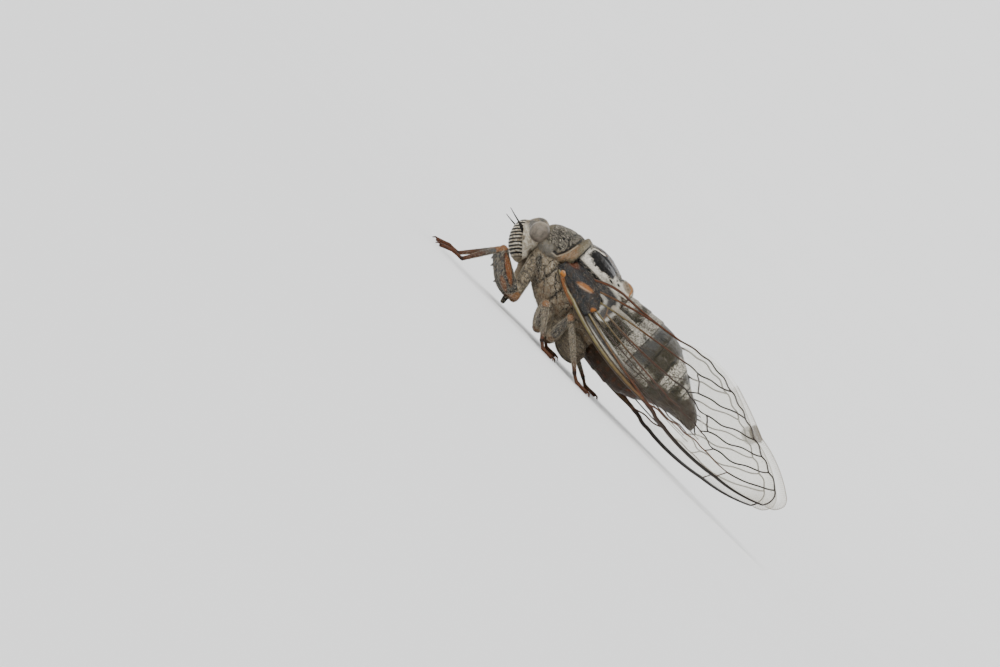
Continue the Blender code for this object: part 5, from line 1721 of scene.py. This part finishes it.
class CICADA_OT_down(bpy.types.Operator):
    """Sets the short down on the head, the trunk, the legs and the wing roots."""

    bl_idname = "cicada.down"
    bl_label = "Down"

    def execute(self, context):
        finish = down_finish()
        begin()
        bpy.ops.mesh.primitive_cone_add(vertices=3, radius1=1.0, radius2=0.0, depth=1.0, location=(0, 0, 0.5))
        bpy.ops.object.transform_apply(location=True, rotation=True, scale=True)
        hair = context.object
        rows = [*DOWN, *((f"{skin}_{name}", *rest) for skin, *rest in DOWN_PAIRS for name in SIDES)]
        for seed, (name, share, reach, thinning) in enumerate(rows):
            skin = bpy.data.objects[name]
            count = int(sizes().down_count * share)
            coat = tufts(skin, hair, count, sizes().down_length * reach, thinning, seed)
            coat.data.materials.append(finish)
            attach(coat, BODY)
            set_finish(coat, skin["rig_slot"])
        bpy.data.objects.remove(hair)
        return {"FINISHED"}


# Lights: name, place, width in degrees, and share of the key light's strength; the world's colour; the floor.
LIGHTS = (("key", (-0.5, -0.8, 1.0), 30.0, 1.0), ("rim", (0.6, 0.9, 1.1), 40.0, 0.35))
SKY = (0.95, 0.96, 1.0, 1.0)
FLOOR_SIDES = 96
SWEEP_STEPS = 28


class CICADA_OT_stage(bpy.types.Operator):
    """Sets the floor, the soft light and the camera."""

    bl_idname = "cicada.stage"
    bl_label = "Stage"

    def execute(self, context):
        stage = context.scene.cicada_stage
        turns = np.linspace(0, math.tau, FLOOR_SIDES, endpoint=False)
        profile = [(0.0, 0.0), (0.3, 0.0), (stage.flat, 0.0)]
        for lift in np.linspace(0.04, 1.0, SWEEP_STEPS):
            profile.append((stage.flat + stage.floor * math.sin(lift), stage.floor * (1 - math.cos(lift))))
        rings = [[(r * math.cos(a), r * math.sin(a), z) for a in turns] for r, z in profile]
        floor = joined(sheet([[*ring, ring[0]] for ring in rings]), FLOOR_GAP)
        floor.name = "floor"
        bpy.ops.object.shade_smooth()
        floor.data.materials.append(floor_finish())

        world = bpy.data.worlds.new("studio")
        world.use_nodes = True
        sky = world.node_tree.nodes["Background"].inputs
        sky[0].default_value = SKY
        sky[1].default_value = stage.fill
        context.scene.world = world
        for name, place, width, share in LIGHTS:
            begin()
            bpy.ops.object.light_add(type="SUN", location=place)
            light = context.object
            light.name = name
            light.data.angle = math.radians(width)
            light.data.energy = stage.key * share
            light.rotation_euler = (-Vector(place)).to_track_quat("-Z", "Y").to_euler()

        begin()
        bpy.ops.object.camera_add()
        camera = context.object
        camera.name = "view"
        camera.data.lens = stage.lens
        camera.data.sensor_width = 36.0
        camera.data.clip_start = 0.01
        level = math.cos(stage.elevation)
        drop = math.sin(stage.elevation)
        cos, sin = math.cos(stage.turn), math.sin(stage.turn)
        ahead = Vector((0, level, -drop))
        upright = Vector((0, drop, level))
        right = Vector((1, 0, 0)) * cos + upright * sin
        up = upright * cos - Vector((1, 0, 0)) * sin
        place = (Vector(stage.place) + CENTRE) * MM
        turn = Matrix((right, up, -ahead)).transposed().to_4x4()
        camera.matrix_world = Matrix.Translation(place) @ turn
        context.scene.camera = camera
        return {"FINISHED"}


class CICADA_PT_panel(bpy.types.Panel):
    """Sizes, colours and pieces of the cicada."""

    bl_idname = "CICADA_PT_panel"
    bl_label = "Cicada"
    bl_space_type = "VIEW_3D"
    bl_region_type = "UI"
    bl_category = "Cicada"

    def draw(self, context):
        for settings in (context.scene.cicada_sizes, context.scene.cicada_colours, context.scene.cicada_stage):
            box = self.layout.box()
            for key in settings.bl_rna.properties.keys():
                if key not in ("rna_type", "name"):
                    box.prop(settings, key)
        for operator in STEPS:
            self.layout.operator(operator.bl_idname)


SETTINGS = {"cicada_sizes": CicadaSizes, "cicada_colours": CicadaColours, "cicada_stage": CicadaStage}
STEPS = (
    CICADA_OT_stage,
    CICADA_OT_head,
    CICADA_OT_eyes,
    CICADA_OT_feelers,
    CICADA_OT_trunk,
    CICADA_OT_wings,
    CICADA_OT_legs,
    CICADA_OT_down,
)


def register():
    for cls in (*SETTINGS.values(), *STEPS, CICADA_PT_panel):
        bpy.utils.register_class(cls)
    for name, cls in SETTINGS.items():
        setattr(bpy.types.Scene, name, PointerProperty(type=cls))


def unregister():
    for name in SETTINGS:
        delattr(bpy.types.Scene, name)
    for cls in (CICADA_PT_panel, *reversed(STEPS), *reversed(SETTINGS.values())):
        bpy.utils.unregister_class(cls)


def main():
    register()
    for step in STEPS:
        group, name = step.bl_idname.split(".")
        getattr(getattr(bpy.ops, group), name)()


if __name__ == "__main__":
    main()
